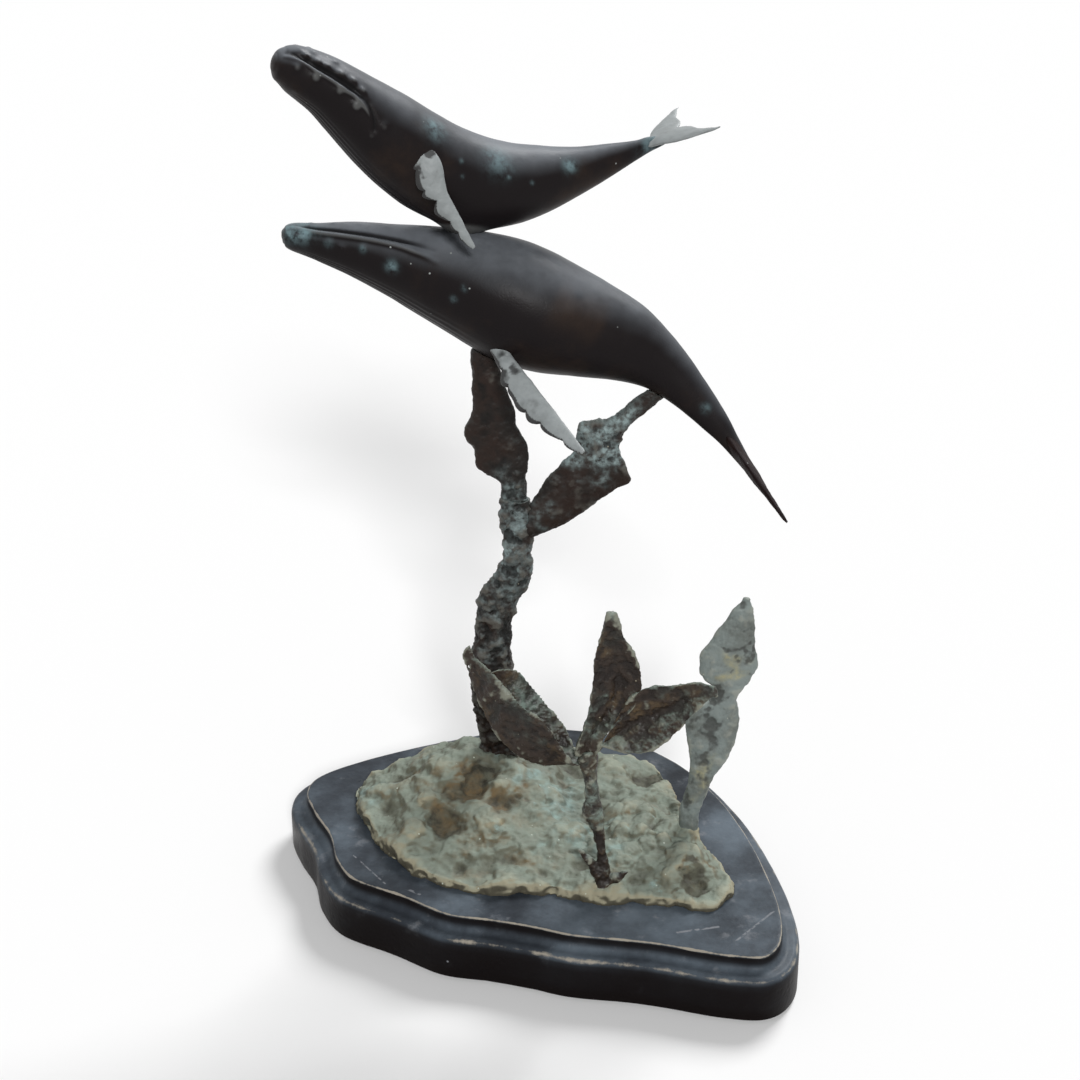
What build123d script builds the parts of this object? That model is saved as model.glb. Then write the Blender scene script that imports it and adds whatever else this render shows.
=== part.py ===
from build123d import *
from math import cos, exp, pi, radians, sin, sqrt
import os

# Bronze whale cow and calf over kelp and rock, on a painted wooden plinth. Sizes are in millimetres.
# X runs from the whales' heads to their tails, Y away from their left sides, Z up from the table.

# Felt pad and wooden plinth
FELT_THICKNESS = 1.5
FELT_INSET = 6.0
PLINTH_WALL_HEIGHT = 21.0
PLINTH_STEP_HEIGHT = 7.0
PLINTH_STEP_INSET = 8.0
PLINTH_BEAD_RADIUS = 3.0
PLINTH_COVE_RADIUS = 3.5
PLINTH_ARRIS_RADIUS = 1.0
PLINTH_OUTLINE = [
    (-121, 45), (-115, 25), (-106, 6), (-101, -14), (-90, -32), (-66, -46), (-44, -60), (-22, -65),
    (-4, -70), (14, -76), (46, -81), (80, -90), (100, -90), (112, -74), (114, -44), (107, 0),
    (94, 42), (73, 78), (38, 106), (-6, 112), (-50, 100), (-90, 82), (-115, 64),
]

# Screws that hold the casting down from below
SCREW_PLACES = [(-48, 22), (36, 46), (44, -16)]
SCREW_RADIUS = 2.5
SCREW_HEAD_RADIUS = 4.6
SCREW_HEAD_HEIGHT = 3.0
SCREW_SLOT_LENGTH = 12.0
SCREW_SLOT_WIDTH = 1.2
SCREW_SLOT_DEPTH = 1.5
SCREW_BITE = 6.0
SCREW_CLEARANCE = 0.3
WASHER_RADIUS = 6.0
WASHER_THICKNESS = 1.0
COUNTERBORE_RADIUS = 7.0
COUNTERBORE_DEPTH = 9.0

# Seabed rock, a hollow casting: a slab, mounds of (x, y, height, spread), pits and ripples
ROCK_OUTLINE = [
    (-90, 40), (-83, 16), (-66, -14), (-44, -32), (-18, -39), (2, -38), (22, -44), (50, -46),
    (80, -48), (86, -36), (76, -4), (66, 28), (56, 62), (36, 76), (0, 81), (-40, 76), (-64, 62), (-84, 54),
]
ROCK_CORE_PLACE = (-34, 40)
ROCK_CORE_RADIUS = 32.0
ROCK_CORE_TOP_RADIUS = 12.0
ROCK_ROOF = 8.0
ROCK_SLAB = 3.0
ROCK_MOUNDS = [
    (-40, 45, 17, 30), (-15, 38, 12, 26), (-50, 8, 7, 24), (-8, 0, 9, 24),
    (40, 40, 8, 24), (46, -6, 8, 22), (66, -30, 8, 13), (50, 45, -5, 7), (70, -37, -6, 6),
    (29, -36, 4, 9), (68, 2, 4, 9), (-26, 31, -5, 8), (-33, 23, -3, 7), (-14, 14, -4, 9),
    (-46, 4, -3, 7), (7, 20, 4, 9), (15, -3, 4, 8), (23, -15, 3, 7), (-23, -6, 4, 9),
    (-54, 15, 3, 7), (-60, -6, 4, 7), (41, 15, 3, 7), (55, 10, 3, 7), (56, -8, 3, 7),
    (40, -24, 3, 7), (67, -20, 3, 7), (-18, -33, 3, 8), (8, -32, 3, 7), (-76, 32, 3, 8),
    (30, 62, 3, 9), (-4, 66, 3, 9),
]
ROCK_RIPPLE = 0.8
ROCK_RIPPLE_PITCH = 5.5
ROCK_MIDDLE = (-2, 18)
ROCK_RIM_DRAFT = 0.985
ROCK_RINGS = 18
ROCK_RING_POINTS = 80

# Kelp that carries the whales; stations are (share of the way, sway, half width, half thickness)
KELP_ROOT = (-20.5, 46.0)
KELP_FORK = (-11.3, 43.0)
KELP_FORK_HEIGHT = 158.0
ROOT_SINK = 5.0
STALK_STATIONS = [
    (0.00, 0.5, 9.5, 7.0), (0.09, -1.0, 8.6, 6.0), (0.23, -4.4, 9.4, 5.5), (0.34, -5.3, 9.6, 5.5),
    (0.43, -6.0, 9.2, 5.5), (0.54, -5.4, 8.4, 5.0), (0.62, -4.8, 9.2, 5.0), (0.69, -0.2, 9.2, 5.0),
    (0.76, 3.2, 7.1, 5.0), (0.83, 2.7, 6.6, 5.0), (0.90, 1.8, 7.2, 5.0), (1.00, 0.0, 6.8, 4.8),
]
FROND_START_SINK = 6.0
FROND_STATIONS = [
    (0.00, 0.4, 5.6, 4.2), (0.16, 1.6, 6.0, 4.0), (0.27, -1.8, 11.6, 3.6), (0.36, -1.4, 12.0, 3.2),
    (0.47, -4.6, 12.0, 3.2), (0.58, -2.0, 9.4, 3.4), (0.69, -2.6, 7.4, 3.8), (0.81, -2.4, 6.3, 4.0),
    (1.00, -0.8, 5.6, 4.0),
]
BRANCH_START_DROP = 15.0
BRANCH_STATIONS = [
    (0.00, 3.0, 5.5, 4.0), (0.10, 4.3, 7.2, 3.8), (0.20, 5.0, 10.4, 3.4), (0.30, 4.4, 11.6, 3.2),
    (0.40, 4.6, 12.7, 3.0), (0.48, 5.0, 13.5, 2.9), (0.56, 1.2, 15.2, 2.8), (0.62, -3.3, 10.8, 2.8),
    (0.68, -3.2, 5.8, 2.8), (0.75, -3.2, 4.0, 2.8), (0.85, -2.6, 4.1, 2.8), (0.93, -1.8, 4.0, 2.8),
    (1.00, -1.2, 4.0, 2.8),
]

# Front plant: a stem with two holdfast spikes and three folded leaves
FRONT_ROOT = (28.6, -39.0)
FRONT_FORK = (20.9, -34.0)
FRONT_FORK_HEIGHT = 70.0
FRONT_STEM_STATIONS = [
    (0.00, 0.0, 5.4, 4.6), (0.17, 0.8, 2.9, 2.7), (0.33, 1.0, 2.1, 2.1), (0.48, 0.3, 2.9, 2.6),
    (0.59, -0.8, 4.6, 3.8), (0.73, -0.2, 3.1, 2.9), (0.87, 0.0, 3.2, 3.0), (1.00, 0.0, 4.6, 4.0),
    (1.05, 0.0, 3.0, 2.8),
]
FRONT_SPIKES = [(-11.5, 0.5, 17.0), (10.5, -1.5, 6.5)]
FRONT_SPIKE_STATIONS = [(0.0, 0.0, 3.6, 2.8), (0.5, 0.6, 2.4, 1.8), (1.0, 0.0, 0.5, 0.4)]

# Leaf stations are the keel, one edge and the other edge, all measured from the fork
LEAF_KEEL_THICKNESS = 2.6
LEAF_EDGE_THICKNESS = 1.3
LEFT_LEAF = [
    ((0, 0, -4), (-1, -3, 0), (1, 3, 0)), ((-19, 1, -5), (-14, -5, 10), (-9, 7, 5)),
    ((-35, 3, 3), (-25, -4, 23), (-18, 11, 17)), ((-45, 6, 18), (-36, 0, 32), (-28, 14, 30)),
    ((-48, 7, 26), (-41, 2, 38), (-35, 13, 35)), ((-51, 8, 35), (-46, 5, 42), (-45, 8, 36)),
    ((-54, 10, 45), (-52, 9, 49), (-51, 11, 46)),
]
UPRIGHT_LEAF = [
    ((0, 1, -1), (-3, -1, 1), (3, -1, 0)), ((6, 2, 19), (-2, -3, 17), (17, -4, 25)),
    ((11, 2, 31), (1, -3, 32), (22, -4, 37)), ((11, 1, 45), (2, -3, 46), (20, -4, 49)),
    ((9, -1, 60), (4, -4, 60), (15, -4, 60)), ((9, -4, 74), (7, -5, 74), (11, -5, 74)),
]
RIGHT_LEAF = [
    ((0, 1, 0), (1, -1, -3), (-1, -1, 3)), ((16, 0, 14), (13, -6, 7), (14, -4, 25)),
    ((26, -1, 21), (26, -9, 9), (24, -5, 37)), ((37, -3, 28), (39, -10, 21), (35, -6, 39)),
    ((46, -7, 35), (48, -11, 33), (45, -8, 41)), ((54, -10, 39), (54, -11, 37), (53, -10, 41)),
]

# Side plant, one tall kelp blade with a waist
SIDE_ROOT = (68.5, 1.0)
SIDE_TIP = (90.3, 2.0)
SIDE_HEIGHT = 129.0
SIDE_STATIONS = [
    (0.00, 0.0, 4.2, 3.4), (0.13, -1.8, 4.4, 3.0), (0.25, -0.3, 5.2, 2.8), (0.36, 0.5, 8.6, 2.4),
    (0.46, -1.2, 12.0, 2.2), (0.53, -1.0, 10.8, 2.2), (0.61, 1.4, 5.0, 2.6), (0.67, -0.4, 10.4, 2.2),
    (0.74, -0.7, 13.0, 2.0), (0.82, -0.7, 9.8, 1.8), (0.91, 0.0, 6.2, 1.6), (1.00, 0.0, 1.6, 0.9),
]

# Whale bodies; stations are shares of (length, length, greatest half depth) and width over depth
MOTHER_LENGTH = 194.5
MOTHER_DEPTH = 52.4
MOTHER_ROLL = 19.0
MOTHER_PLACE = (-13.0, 48.8)
MOTHER_SPINE_HEIGHT = 250.0
MOTHER_DEEPEST = 0.506
MOTHER_PROFILE = [
    (0.000, 0.154, 0.05, 1.10), (0.008, 0.154, 0.11, 1.15), (0.023, 0.152, 0.18, 1.15),
    (0.080, 0.142, 0.30, 1.14), (0.165, 0.125, 0.45, 1.10), (0.252, 0.101, 0.60, 1.06),
    (0.337, 0.075, 0.76, 1.02), (0.424, 0.046, 0.91, 1.00), (0.506, 0.013, 1.00, 0.98),
    (0.591, -0.021, 0.97, 0.96), (0.676, -0.049, 0.84, 0.92), (0.761, -0.081, 0.68, 0.84),
    (0.838, -0.128, 0.48, 0.74), (0.902, -0.187, 0.34, 0.66), (0.964, -0.256, 0.23, 0.60),
    (1.000, -0.303, 0.15, 0.60),
]
CALF_LENGTH = 164.5
CALF_DEPTH = 40.4
CALF_YAW = 20.0
CALF_SET_BACK = 5.1
CALF_BITE = 1.4
CALF_BELLY_SEAT = 0.508
MOTHER_BACK_SEAT = 0.424
CALF_PROFILE = [
    (0.000, 0.446, 0.06, 1.10), (0.006, 0.446, 0.13, 1.12), (0.021, 0.444, 0.25, 1.12),
    (0.060, 0.432, 0.48, 1.08), (0.137, 0.380, 0.61, 1.06), (0.207, 0.319, 0.75, 1.04),
    (0.274, 0.258, 0.88, 1.02), (0.346, 0.196, 0.96, 1.00), (0.422, 0.143, 1.00, 1.00),
    (0.508, 0.106, 0.98, 0.98), (0.599, 0.091, 0.89, 0.96), (0.693, 0.094, 0.74, 0.92),
    (0.781, 0.105, 0.56, 0.86), (0.872, 0.124, 0.38, 0.78), (0.964, 0.147, 0.21, 0.70),
    (1.000, 0.158, 0.17, 0.66),
]
BODY_WALL = 4.5
CORE_LEAST_RADIUS = 4.0
CHEST_SEAT = 0.450
TAIL_SEAT = 0.860
SEAT_DEPTH = 8.0

# Flippers: (side, share of the body's length, drop round the body, way to the tip, way the flat faces);
# side is 1 for the left and -1 for the right, the ways are along, up and out from the body;
# stations are (share of the way, sway to the leading edge, half chord, half thickness)
MOTHER_FLIPPERS = [
    (1, 0.475, 62.0, (37.0, -42.5, 36.0), (-0.37, 0.48, 0.79)),
    (-1, 0.475, 62.0, (30.0, -4.0, 50.0), (-0.20, 0.95, 0.20)),
]
MOTHER_FLIPPER_STATIONS = [
    (-0.10, 0.0, 3.4, 2.4), (0.06, 0.2, 3.4, 2.4), (0.18, 1.4, 4.2, 2.3), (0.30, 3.2, 5.9, 2.2),
    (0.40, 3.1, 5.6, 2.1), (0.50, 4.2, 6.4, 2.0), (0.60, 3.8, 5.9, 1.8), (0.70, 2.9, 4.7, 1.6),
    (0.80, 2.4, 3.9, 1.4), (0.90, 1.5, 2.9, 1.1), (1.00, 0.2, 1.2, 0.7),
]
CALF_FLIPPERS = [
    (1, 0.336, 8.0, (19.4, -32.2, 12.0), (-0.25, 0.22, 0.94)),
    (-1, 0.352, 8.0, (16.9, -31.7, 11.5), (-0.25, 0.22, 0.94)),
]
CALF_FLIPPER_STATIONS = [
    (-0.10, -2.2, 6.6, 2.2), (0.06, -2.0, 6.8, 2.2), (0.20, -1.0, 6.6, 2.1), (0.30, 0.5, 5.9, 2.0),
    (0.41, 0.5, 3.9, 1.9), (0.50, 1.6, 4.5, 1.7), (0.60, 1.1, 3.5, 1.5), (0.70, 1.0, 2.9, 1.3),
    (0.80, 1.3, 2.6, 1.2), (0.90, 1.1, 1.8, 1.0), (1.00, 0.8, 0.9, 0.6),
]
FLIPPER_SINK = 3.0

# Flukes: stations are shares of (half span, reach, reach, half thickness)
MOTHER_FLUKE_HALF_SPAN = 42.0
MOTHER_FLUKE_REACH = 37.5
MOTHER_FLUKE_HALF_THICKNESS = 2.6
MOTHER_FLUKE_LIFT = -2.0
MOTHER_FLUKE_TWIST = 2.0
CALF_FLUKE_HALF_SPAN = 24.0
CALF_FLUKE_REACH = 26.5
CALF_FLUKE_HALF_THICKNESS = 1.9
CALF_FLUKE_LIFT = 6.0
CALF_FLUKE_TWIST = -4.0
FLUKE_PLAN = [
    (0.00, -0.14, 0.60, 1.00), (0.15, 0.02, 0.68, 0.92), (0.38, 0.18, 0.74, 0.74),
    (0.66, 0.43, 0.80, 0.54), (0.88, 0.73, 0.91, 0.38), (1.00, 0.95, 1.00, 0.26),
]

# Dowels are bonded into blind holes at each seat
DOWEL_CLEARANCE = 0.05
DOWEL_END_GAP = 0.3
BOSS_WALL = 2.5
STALK_DOWEL_RADIUS = 2.0
STALK_DOWEL_HALF_LENGTH = 8.0
PLANT_DOWEL_RADIUS = 1.2
PLANT_DOWEL_HALF_LENGTH = 4.0
FORK_DOWEL_RADIUS = 1.6
FORK_DOWEL_HALF_LENGTH = 5.0
SEAT_DOWEL_RADIUS = 1.6
SEAT_DOWEL_HALF_LENGTH = 7.0
TAIL_DOWEL_SWAY = -2.2
FLIPPER_DOWEL_RADIUS = 1.0
FLIPPER_DOWEL_HALF_LENGTH = 6.0

RING_POINTS = 12
OUTLINE_STEPS = 60
UP = Vector(0, 0, 1)

plinth_base = FELT_THICKNESS
plinth_shoulder = plinth_base + PLINTH_WALL_HEIGHT
seabed = plinth_shoulder + PLINTH_STEP_HEIGHT


def cylinder(base, direction, radius, length):
    """Return a cylinder that stands on base and runs along direction."""
    return Solid.make_cylinder(radius, length, Plane(origin=base, z_dir=direction))


def loop(points):
    """Return a smooth closed wire through points, its parameter even from point to point."""
    even = [float(number) for number in range(len(points) + 1)]
    return Wire([Edge.make_spline(points, periodic=True, parameters=even)])


def ring(center, across, thin):
    """Return a closed oval wire with the half axes across and thin."""
    points = []
    for step in range(RING_POINTS):
        angle = 2 * pi * step / RING_POINTS
        points.append(center + across * cos(angle) + thin * sin(angle))
    return loop(points)


def eased(stations):
    """Return the stations with one more, on a smooth curve, halfway between each two."""
    last = len(stations) - 1
    result = []
    for index in range(last):
        around = [stations[min(max(index + step, 0), last)] for step in (-1, 0, 1, 2)]
        result.append(stations[index])
        result.append(tuple((9 * (b + c) - a - d) / 16 for a, b, c, d in zip(*around)))
    return result + [stations[last]]


def limb(start, end, facing, stations):
    """Loft a solid through ovals square to the way from start to end, thin along facing."""
    way = end - start
    across = way.cross(facing).normalized()
    thin = across.cross(way).normalized()
    rings = []
    for share, sway, half_width, half_thickness in eased(stations):
        rings.append(ring(start + way * share + across * sway, across * half_width, thin * half_thickness))
    return Solid.make_loft(rings)


def outline(points, inset=0.0):
    """Return the smooth closed outline through the points, moved in by inset."""
    curve = Edge.make_spline([Vector(x, y) for x, y in points], periodic=True)
    moved = []
    for step in range(OUTLINE_STEPS):
        share = step / OUTLINE_STEPS
        moved.append(curve.position_at(share) + UP.cross(curve.tangent_at(share)) * inset)
    return loop(moved)


def slab(wire, bottom, height):
    """Extrude a flat outline from bottom upwards."""
    return Solid.extrude(Face(wire), UP * height).moved(Location((0, 0, bottom)))


class Whale:
    """A whale's body in its own frame: along from the nose, up in its plane, and out to its left."""

    def __init__(self, length, depth, profile, yaw, roll):
        """Scale the profile and turn the frame; the nose's level starts at the origin."""
        self.stations = []
        for along, up, half_depth, breadth in profile:
            half = half_depth * depth / 2
            self.stations.append((along * length, up * length, half, half * breadth))
        self.shares = [station[0] for station in profile]
        self.along = Vector(cos(radians(yaw)), sin(radians(yaw)), 0)
        away = UP.cross(self.along)
        self.up = UP * cos(radians(roll)) + away * sin(radians(roll))
        self.left = self.along.cross(self.up)
        self.origin = Vector(0, 0, 0)

    def pin(self, share, place):
        """Move the whale so that its spine passes through place at a share of its length."""
        self.origin += place - self.spine(share)

    def station(self, share):
        """Return along, up, half depth and half width at a share of the length."""
        index = max(1, next(i for i, value in enumerate(self.shares) if value >= share))
        low, high = self.shares[index - 1], self.shares[index]
        part = (share - low) / (high - low)
        return [a + (b - a) * part for a, b in zip(self.stations[index - 1], self.stations[index])]

    def point(self, along, up, left=0.0):
        """Return the place of a point given in the whale's frame."""
        return self.origin + self.along * along + self.up * up + self.left * left

    def direction(self, along, up, left):
        """Return a direction given in the whale's frame, as a unit vector."""
        return (self.along * along + self.up * up + self.left * left).normalized()

    def spine(self, share):
        """Return the spine's point at a share of the length."""
        along, up, _, _ = self.station(share)
        return self.point(along, up)

    def heading(self, index):
        """Return the spine's direction, towards the tail, at a station."""
        before = self.stations[max(index - 1, 0)]
        after = self.stations[min(index + 1, len(self.stations) - 1)]
        return self.direction(after[0] - before[0], after[1] - before[1], 0)

    def upright_reach(self, share):
        """Return the height of the skin over the spine, measured square to the whale's length."""
        index = min(range(len(self.shares)), key=lambda i: abs(self.shares[i] - share))
        return self.station(share)[2] / self.heading(index).dot(self.along)

    def belly(self, share, depth):
        """Return the point that lies depth inside the belly's skin, under the spine."""
        return self.spine(share) - self.up * (self.upright_reach(share) - depth)

    def form(self, inset=0.0, least_radius=0.0):
        """Loft the body with its skin moved in by inset, where it stays wider than least_radius."""
        rings = []
        for index, (along, up, half_depth, half_width) in enumerate(self.stations):
            if min(half_depth, half_width) - inset > least_radius:
                heading = self.heading(index)
                wide = self.left * (inset - half_width)
                deep = self.left.cross(heading) * (inset - half_depth)
                rings.append(ring(self.point(along, up), wide, deep))
        return Solid.make_loft(rings)


class Dowel:
    """A bonded pin across a seat, with its hole and the boss that the hole is drilled in."""

    def __init__(self, center, direction, radius, half_length):
        """Centre the pin on the seat."""
        self.direction = direction.normalized()
        self.start = center - self.direction * half_length
        self.radius = radius
        self.length = 2 * half_length

    def grown(self, sideways, endways):
        """Return the pin's cylinder, grown sideways and at both ends."""
        start = self.start - self.direction * endways
        return cylinder(start, self.direction, self.radius + sideways, self.length + 2 * endways)

    def pin(self):
        """Return the pin itself."""
        return self.grown(0, 0)

    def hole(self):
        """Return the room that the pin needs."""
        return self.grown(DOWEL_CLEARANCE, DOWEL_END_GAP)

    def boss(self):
        """Return the metal that has to stay round the hole."""
        return self.grown(BOSS_WALL, BOSS_WALL)


def flipper(whale, skin, stations, side, share, drop, reach, facing):
    """Return a flipper, cut to sit on the whale's skin and drilled at its root, and its root dowel."""
    along, up, half_depth, half_width = whale.station(share)
    low, out = sin(radians(drop)), cos(radians(drop))
    root = whale.point(along, up - half_depth * low, side * half_width * out)
    way = whale.direction(reach[0], reach[1], side * reach[2])
    tip = root + way * Vector(*reach).length
    face = whale.direction(facing[0], facing[1], side * facing[2])
    profile = [(part, side * sway, chord, thickness) for part, sway, chord, thickness in stations]
    dowel = Dowel(root, way, FLIPPER_DOWEL_RADIUS, FLIPPER_DOWEL_HALF_LENGTH)
    return carve(limb(root - way * FLIPPER_SINK, tip, face, profile), skin, dowel.hole()), dowel


def flukes(whale, half_span, reach, half_thickness, lift, twist):
    """Return raw flukes, lofted from tip to tip across the end of the tail."""
    tail = whale.spine(1.0)
    heading = whale.heading(len(whale.stations) - 1)
    back = heading.rotate(Axis((0, 0, 0), whale.left), lift)
    across = whale.left.rotate(Axis((0, 0, 0), back), twist)
    over = across.cross(back)
    mirrored = [(-share, lead, trail, thick) for share, lead, trail, thick in reversed(FLUKE_PLAN[1:])]
    rings = []
    for share, lead, trail, thick in mirrored + FLUKE_PLAN:
        center = tail + across * (share * half_span) + back * ((lead + trail) / 2 * reach)
        rings.append(ring(center, back * ((trail - lead) / 2 * reach), over * (thick * half_thickness)))
    return Solid.make_loft(rings)


def leaf(fork, stations):
    """Loft a leaf through folded sections: two blades that meet along the keel."""
    sections = []
    for places in stations:
        keel, one_edge, other_edge = [fork + Vector(*place) for place in places]
        inward = ((one_edge + other_edge) * 0.5 - keel).normalized()
        outer = [one_edge, keel, other_edge]
        thickness = [LEAF_EDGE_THICKNESS, LEAF_KEEL_THICKNESS, LEAF_EDGE_THICKNESS]
        inner = [corner + inward * thick for corner, thick in zip(outer, thickness)]
        sections.append(Wire.make_polygon(outer + inner[::-1], close=True))
    return Solid.make_loft(sections)


def largest(shape):
    """Return a shape's largest solid."""
    return max(shape.solids(), key=lambda solid: solid.volume)


def rock_height(x, y):
    """Return the rock's height over the plinth at a place."""
    height = ROCK_SLAB
    for mound_x, mound_y, mound_height, spread in ROCK_MOUNDS:
        height += mound_height * exp(-((x - mound_x) ** 2 + (y - mound_y) ** 2) / spread ** 2)
    ripple = sin(x / ROCK_RIPPLE_PITCH + y / (2 * ROCK_RIPPLE_PITCH)) * cos(y / ROCK_RIPPLE_PITCH)
    return height + ROCK_RIPPLE * ripple


def rock_form():
    """Loft the rock's solid form through rings that climb from its outline to the middle."""
    curve = Edge.make_spline([Vector(x, y) for x, y in ROCK_OUTLINE], periodic=True)
    middle = Vector(*ROCK_MIDDLE)
    rim = [curve.position_at(step / ROCK_RING_POINTS) for step in range(ROCK_RING_POINTS)]
    rings = [loop([point + UP * seabed for point in rim])]
    for ring_number in range(ROCK_RINGS):
        share = (1 - ring_number / ROCK_RINGS) * ROCK_RIM_DRAFT
        flat = [middle + (point - middle) * share for point in rim]
        heights = [seabed + rock_height(point.X, point.Y) for point in flat]
        if ring_number == ROCK_RINGS - 1:
            heights = [sum(heights) / len(heights)] * len(heights)
        rings.append(loop([point + UP * height for point, height in zip(flat, heights)]))
    return Solid.make_loft(rings, ruled=True)


def rock_core():
    """Return the hollow under the rock's main mound."""
    foot = Vector(*ROCK_CORE_PLACE, seabed)
    height = rock_height(*ROCK_CORE_PLACE) - ROCK_ROOF
    return Solid.make_cone(ROCK_CORE_RADIUS, ROCK_CORE_TOP_RADIUS, height, Plane(foot))


def carve(shape, *tools):
    """Cut tools out of a shape and return its largest solid."""
    for tool in tools:
        shape = largest(shape - tool)
    return shape


def place_on_rock(place):
    """Return the point of the rock's skin over a place."""
    return Vector(*place, seabed + rock_height(*place))


def felt_pad():
    """Return the felt under the plinth."""
    return slab(outline(PLINTH_OUTLINE, FELT_INSET), 0, FELT_THICKNESS)


def wood_plinth():
    """Return the plinth: a block with a bead, and a raised step that meets it in a cove."""
    block = slab(outline(PLINTH_OUTLINE), plinth_base, PLINTH_WALL_HEIGHT)
    step = slab(outline(PLINTH_OUTLINE, PLINTH_STEP_INSET), plinth_shoulder, PLINTH_STEP_HEIGHT)
    plinth = largest(block + step)
    shoulder_edges = plinth.edges().filter_by_position(Axis.Z, plinth_shoulder, plinth_shoulder)
    by_length = shoulder_edges.sort_by(SortBy.LENGTH)
    plinth = largest(plinth.fillet(PLINTH_COVE_RADIUS, [by_length[0]]))
    shoulder_edges = plinth.edges().filter_by_position(Axis.Z, plinth_shoulder, plinth_shoulder)
    by_length = shoulder_edges.sort_by(SortBy.LENGTH)
    plinth = largest(plinth.fillet(PLINTH_BEAD_RADIUS, [by_length[-1]]))
    arrises = plinth.edges().group_by(Axis.Z)
    return largest(plinth.fillet(PLINTH_ARRIS_RADIUS, arrises[0] + arrises[-1]))


def base_fasteners():
    """Return the screws, their washers, and the room that both need in the plinth and the rock."""
    screws, washers, plinth_room, rock_room, rock_bosses = [], [], [], [], []
    seat = plinth_base + COUNTERBORE_DEPTH
    shank_length = seabed + SCREW_BITE - seat + WASHER_THICKNESS
    for place in SCREW_PLACES:
        head = Vector(*place, seat - WASHER_THICKNESS - SCREW_HEAD_HEIGHT)
        neck = head + UP * SCREW_HEAD_HEIGHT
        screw = largest(
            cylinder(head, UP, SCREW_HEAD_RADIUS, SCREW_HEAD_HEIGHT)
            + cylinder(neck, UP, SCREW_RADIUS, shank_length)
        )
        slot = Solid.make_box(
            SCREW_SLOT_LENGTH, SCREW_SLOT_WIDTH, SCREW_SLOT_DEPTH,
            Plane(head - Vector(SCREW_SLOT_LENGTH / 2, SCREW_SLOT_WIDTH / 2, 0)),
        )
        screws.append(carve(screw, slot))
        bore = cylinder(neck, UP, SCREW_RADIUS + SCREW_CLEARANCE, seabed - neck.Z)
        washers.append(carve(cylinder(neck, UP, WASHER_RADIUS, WASHER_THICKNESS), bore))
        plinth_room.append(bore)
        plinth_room.append(cylinder(Vector(*place, plinth_base), UP, COUNTERBORE_RADIUS, COUNTERBORE_DEPTH))
        foot = Vector(*place, seabed)
        tapped_radius = SCREW_RADIUS + DOWEL_CLEARANCE
        rock_room.append(cylinder(foot, UP, tapped_radius, SCREW_BITE + DOWEL_END_GAP))
        rock_bosses.append(cylinder(foot, UP, SCREW_RADIUS + BOSS_WALL, rock_height(*place)))
    return screws, washers, plinth_room, rock_room, rock_bosses


def hollowed(whale, skin, dowels):
    """Return a hollow casting of a whale's skin, with a drilled boss for each dowel."""
    core = whale.form(BODY_WALL, CORE_LEAST_RADIUS)
    core = carve(core, *[dowel.boss() for dowel in dowels])
    return carve(skin, core, *[dowel.hole() for dowel in dowels])


def drilled(skin, *dowels):
    """Return a solid casting with a hole for each dowel."""
    return carve(skin, *[dowel.hole() for dowel in dowels])


# Whales, the mother held over the rock and the calf resting on her back
mother = Whale(MOTHER_LENGTH, MOTHER_DEPTH, MOTHER_PROFILE, 0.0, MOTHER_ROLL)
mother.pin(MOTHER_DEEPEST, Vector(*MOTHER_PLACE, seabed + MOTHER_SPINE_HEIGHT))
calf = Whale(CALF_LENGTH, CALF_DEPTH, CALF_PROFILE, CALF_YAW, 0.0)
mother_reach = mother.upright_reach(MOTHER_BACK_SEAT)
spine_distance = mother_reach + calf.upright_reach(CALF_BELLY_SEAT) - CALF_BITE
calf_lift = sqrt(spine_distance ** 2 - CALF_SET_BACK ** 2)
mother_back = mother.spine(MOTHER_BACK_SEAT)
calf.pin(CALF_BELLY_SEAT, mother_back + Vector(0, CALF_SET_BACK, calf_lift))
mother_skin = mother.form()
calf_skin = carve(calf.form(), mother_skin)
calf_way = (calf.spine(CALF_BELLY_SEAT) - mother_back).normalized()
calf_seat = mother_back + calf_way * mother_reach
calf_dowel = Dowel(calf_seat, calf_way, SEAT_DOWEL_RADIUS, SEAT_DOWEL_HALF_LENGTH)
mother_flukes = flukes(
    mother, MOTHER_FLUKE_HALF_SPAN, MOTHER_FLUKE_REACH, MOTHER_FLUKE_HALF_THICKNESS,
    MOTHER_FLUKE_LIFT, MOTHER_FLUKE_TWIST,
)
calf_flukes = flukes(
    calf, CALF_FLUKE_HALF_SPAN, CALF_FLUKE_REACH, CALF_FLUKE_HALF_THICKNESS,
    CALF_FLUKE_LIFT, CALF_FLUKE_TWIST,
)
flippers, flipper_dowels = [], []
for place in MOTHER_FLIPPERS:
    casting, dowel = flipper(mother, mother_skin, MOTHER_FLIPPER_STATIONS, *place)
    flippers.append(casting)
    flipper_dowels.append(dowel)
for place in CALF_FLIPPERS:
    casting, dowel = flipper(calf, calf_skin, CALF_FLIPPER_STATIONS, *place)
    flippers.append(casting)
    flipper_dowels.append(dowel)
mother_left_flipper, mother_right_flipper, calf_left_flipper, calf_right_flipper = flippers
mother_dowels = flipper_dowels[:len(MOTHER_FLIPPERS)]
calf_dowels = flipper_dowels[len(MOTHER_FLIPPERS):]

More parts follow.
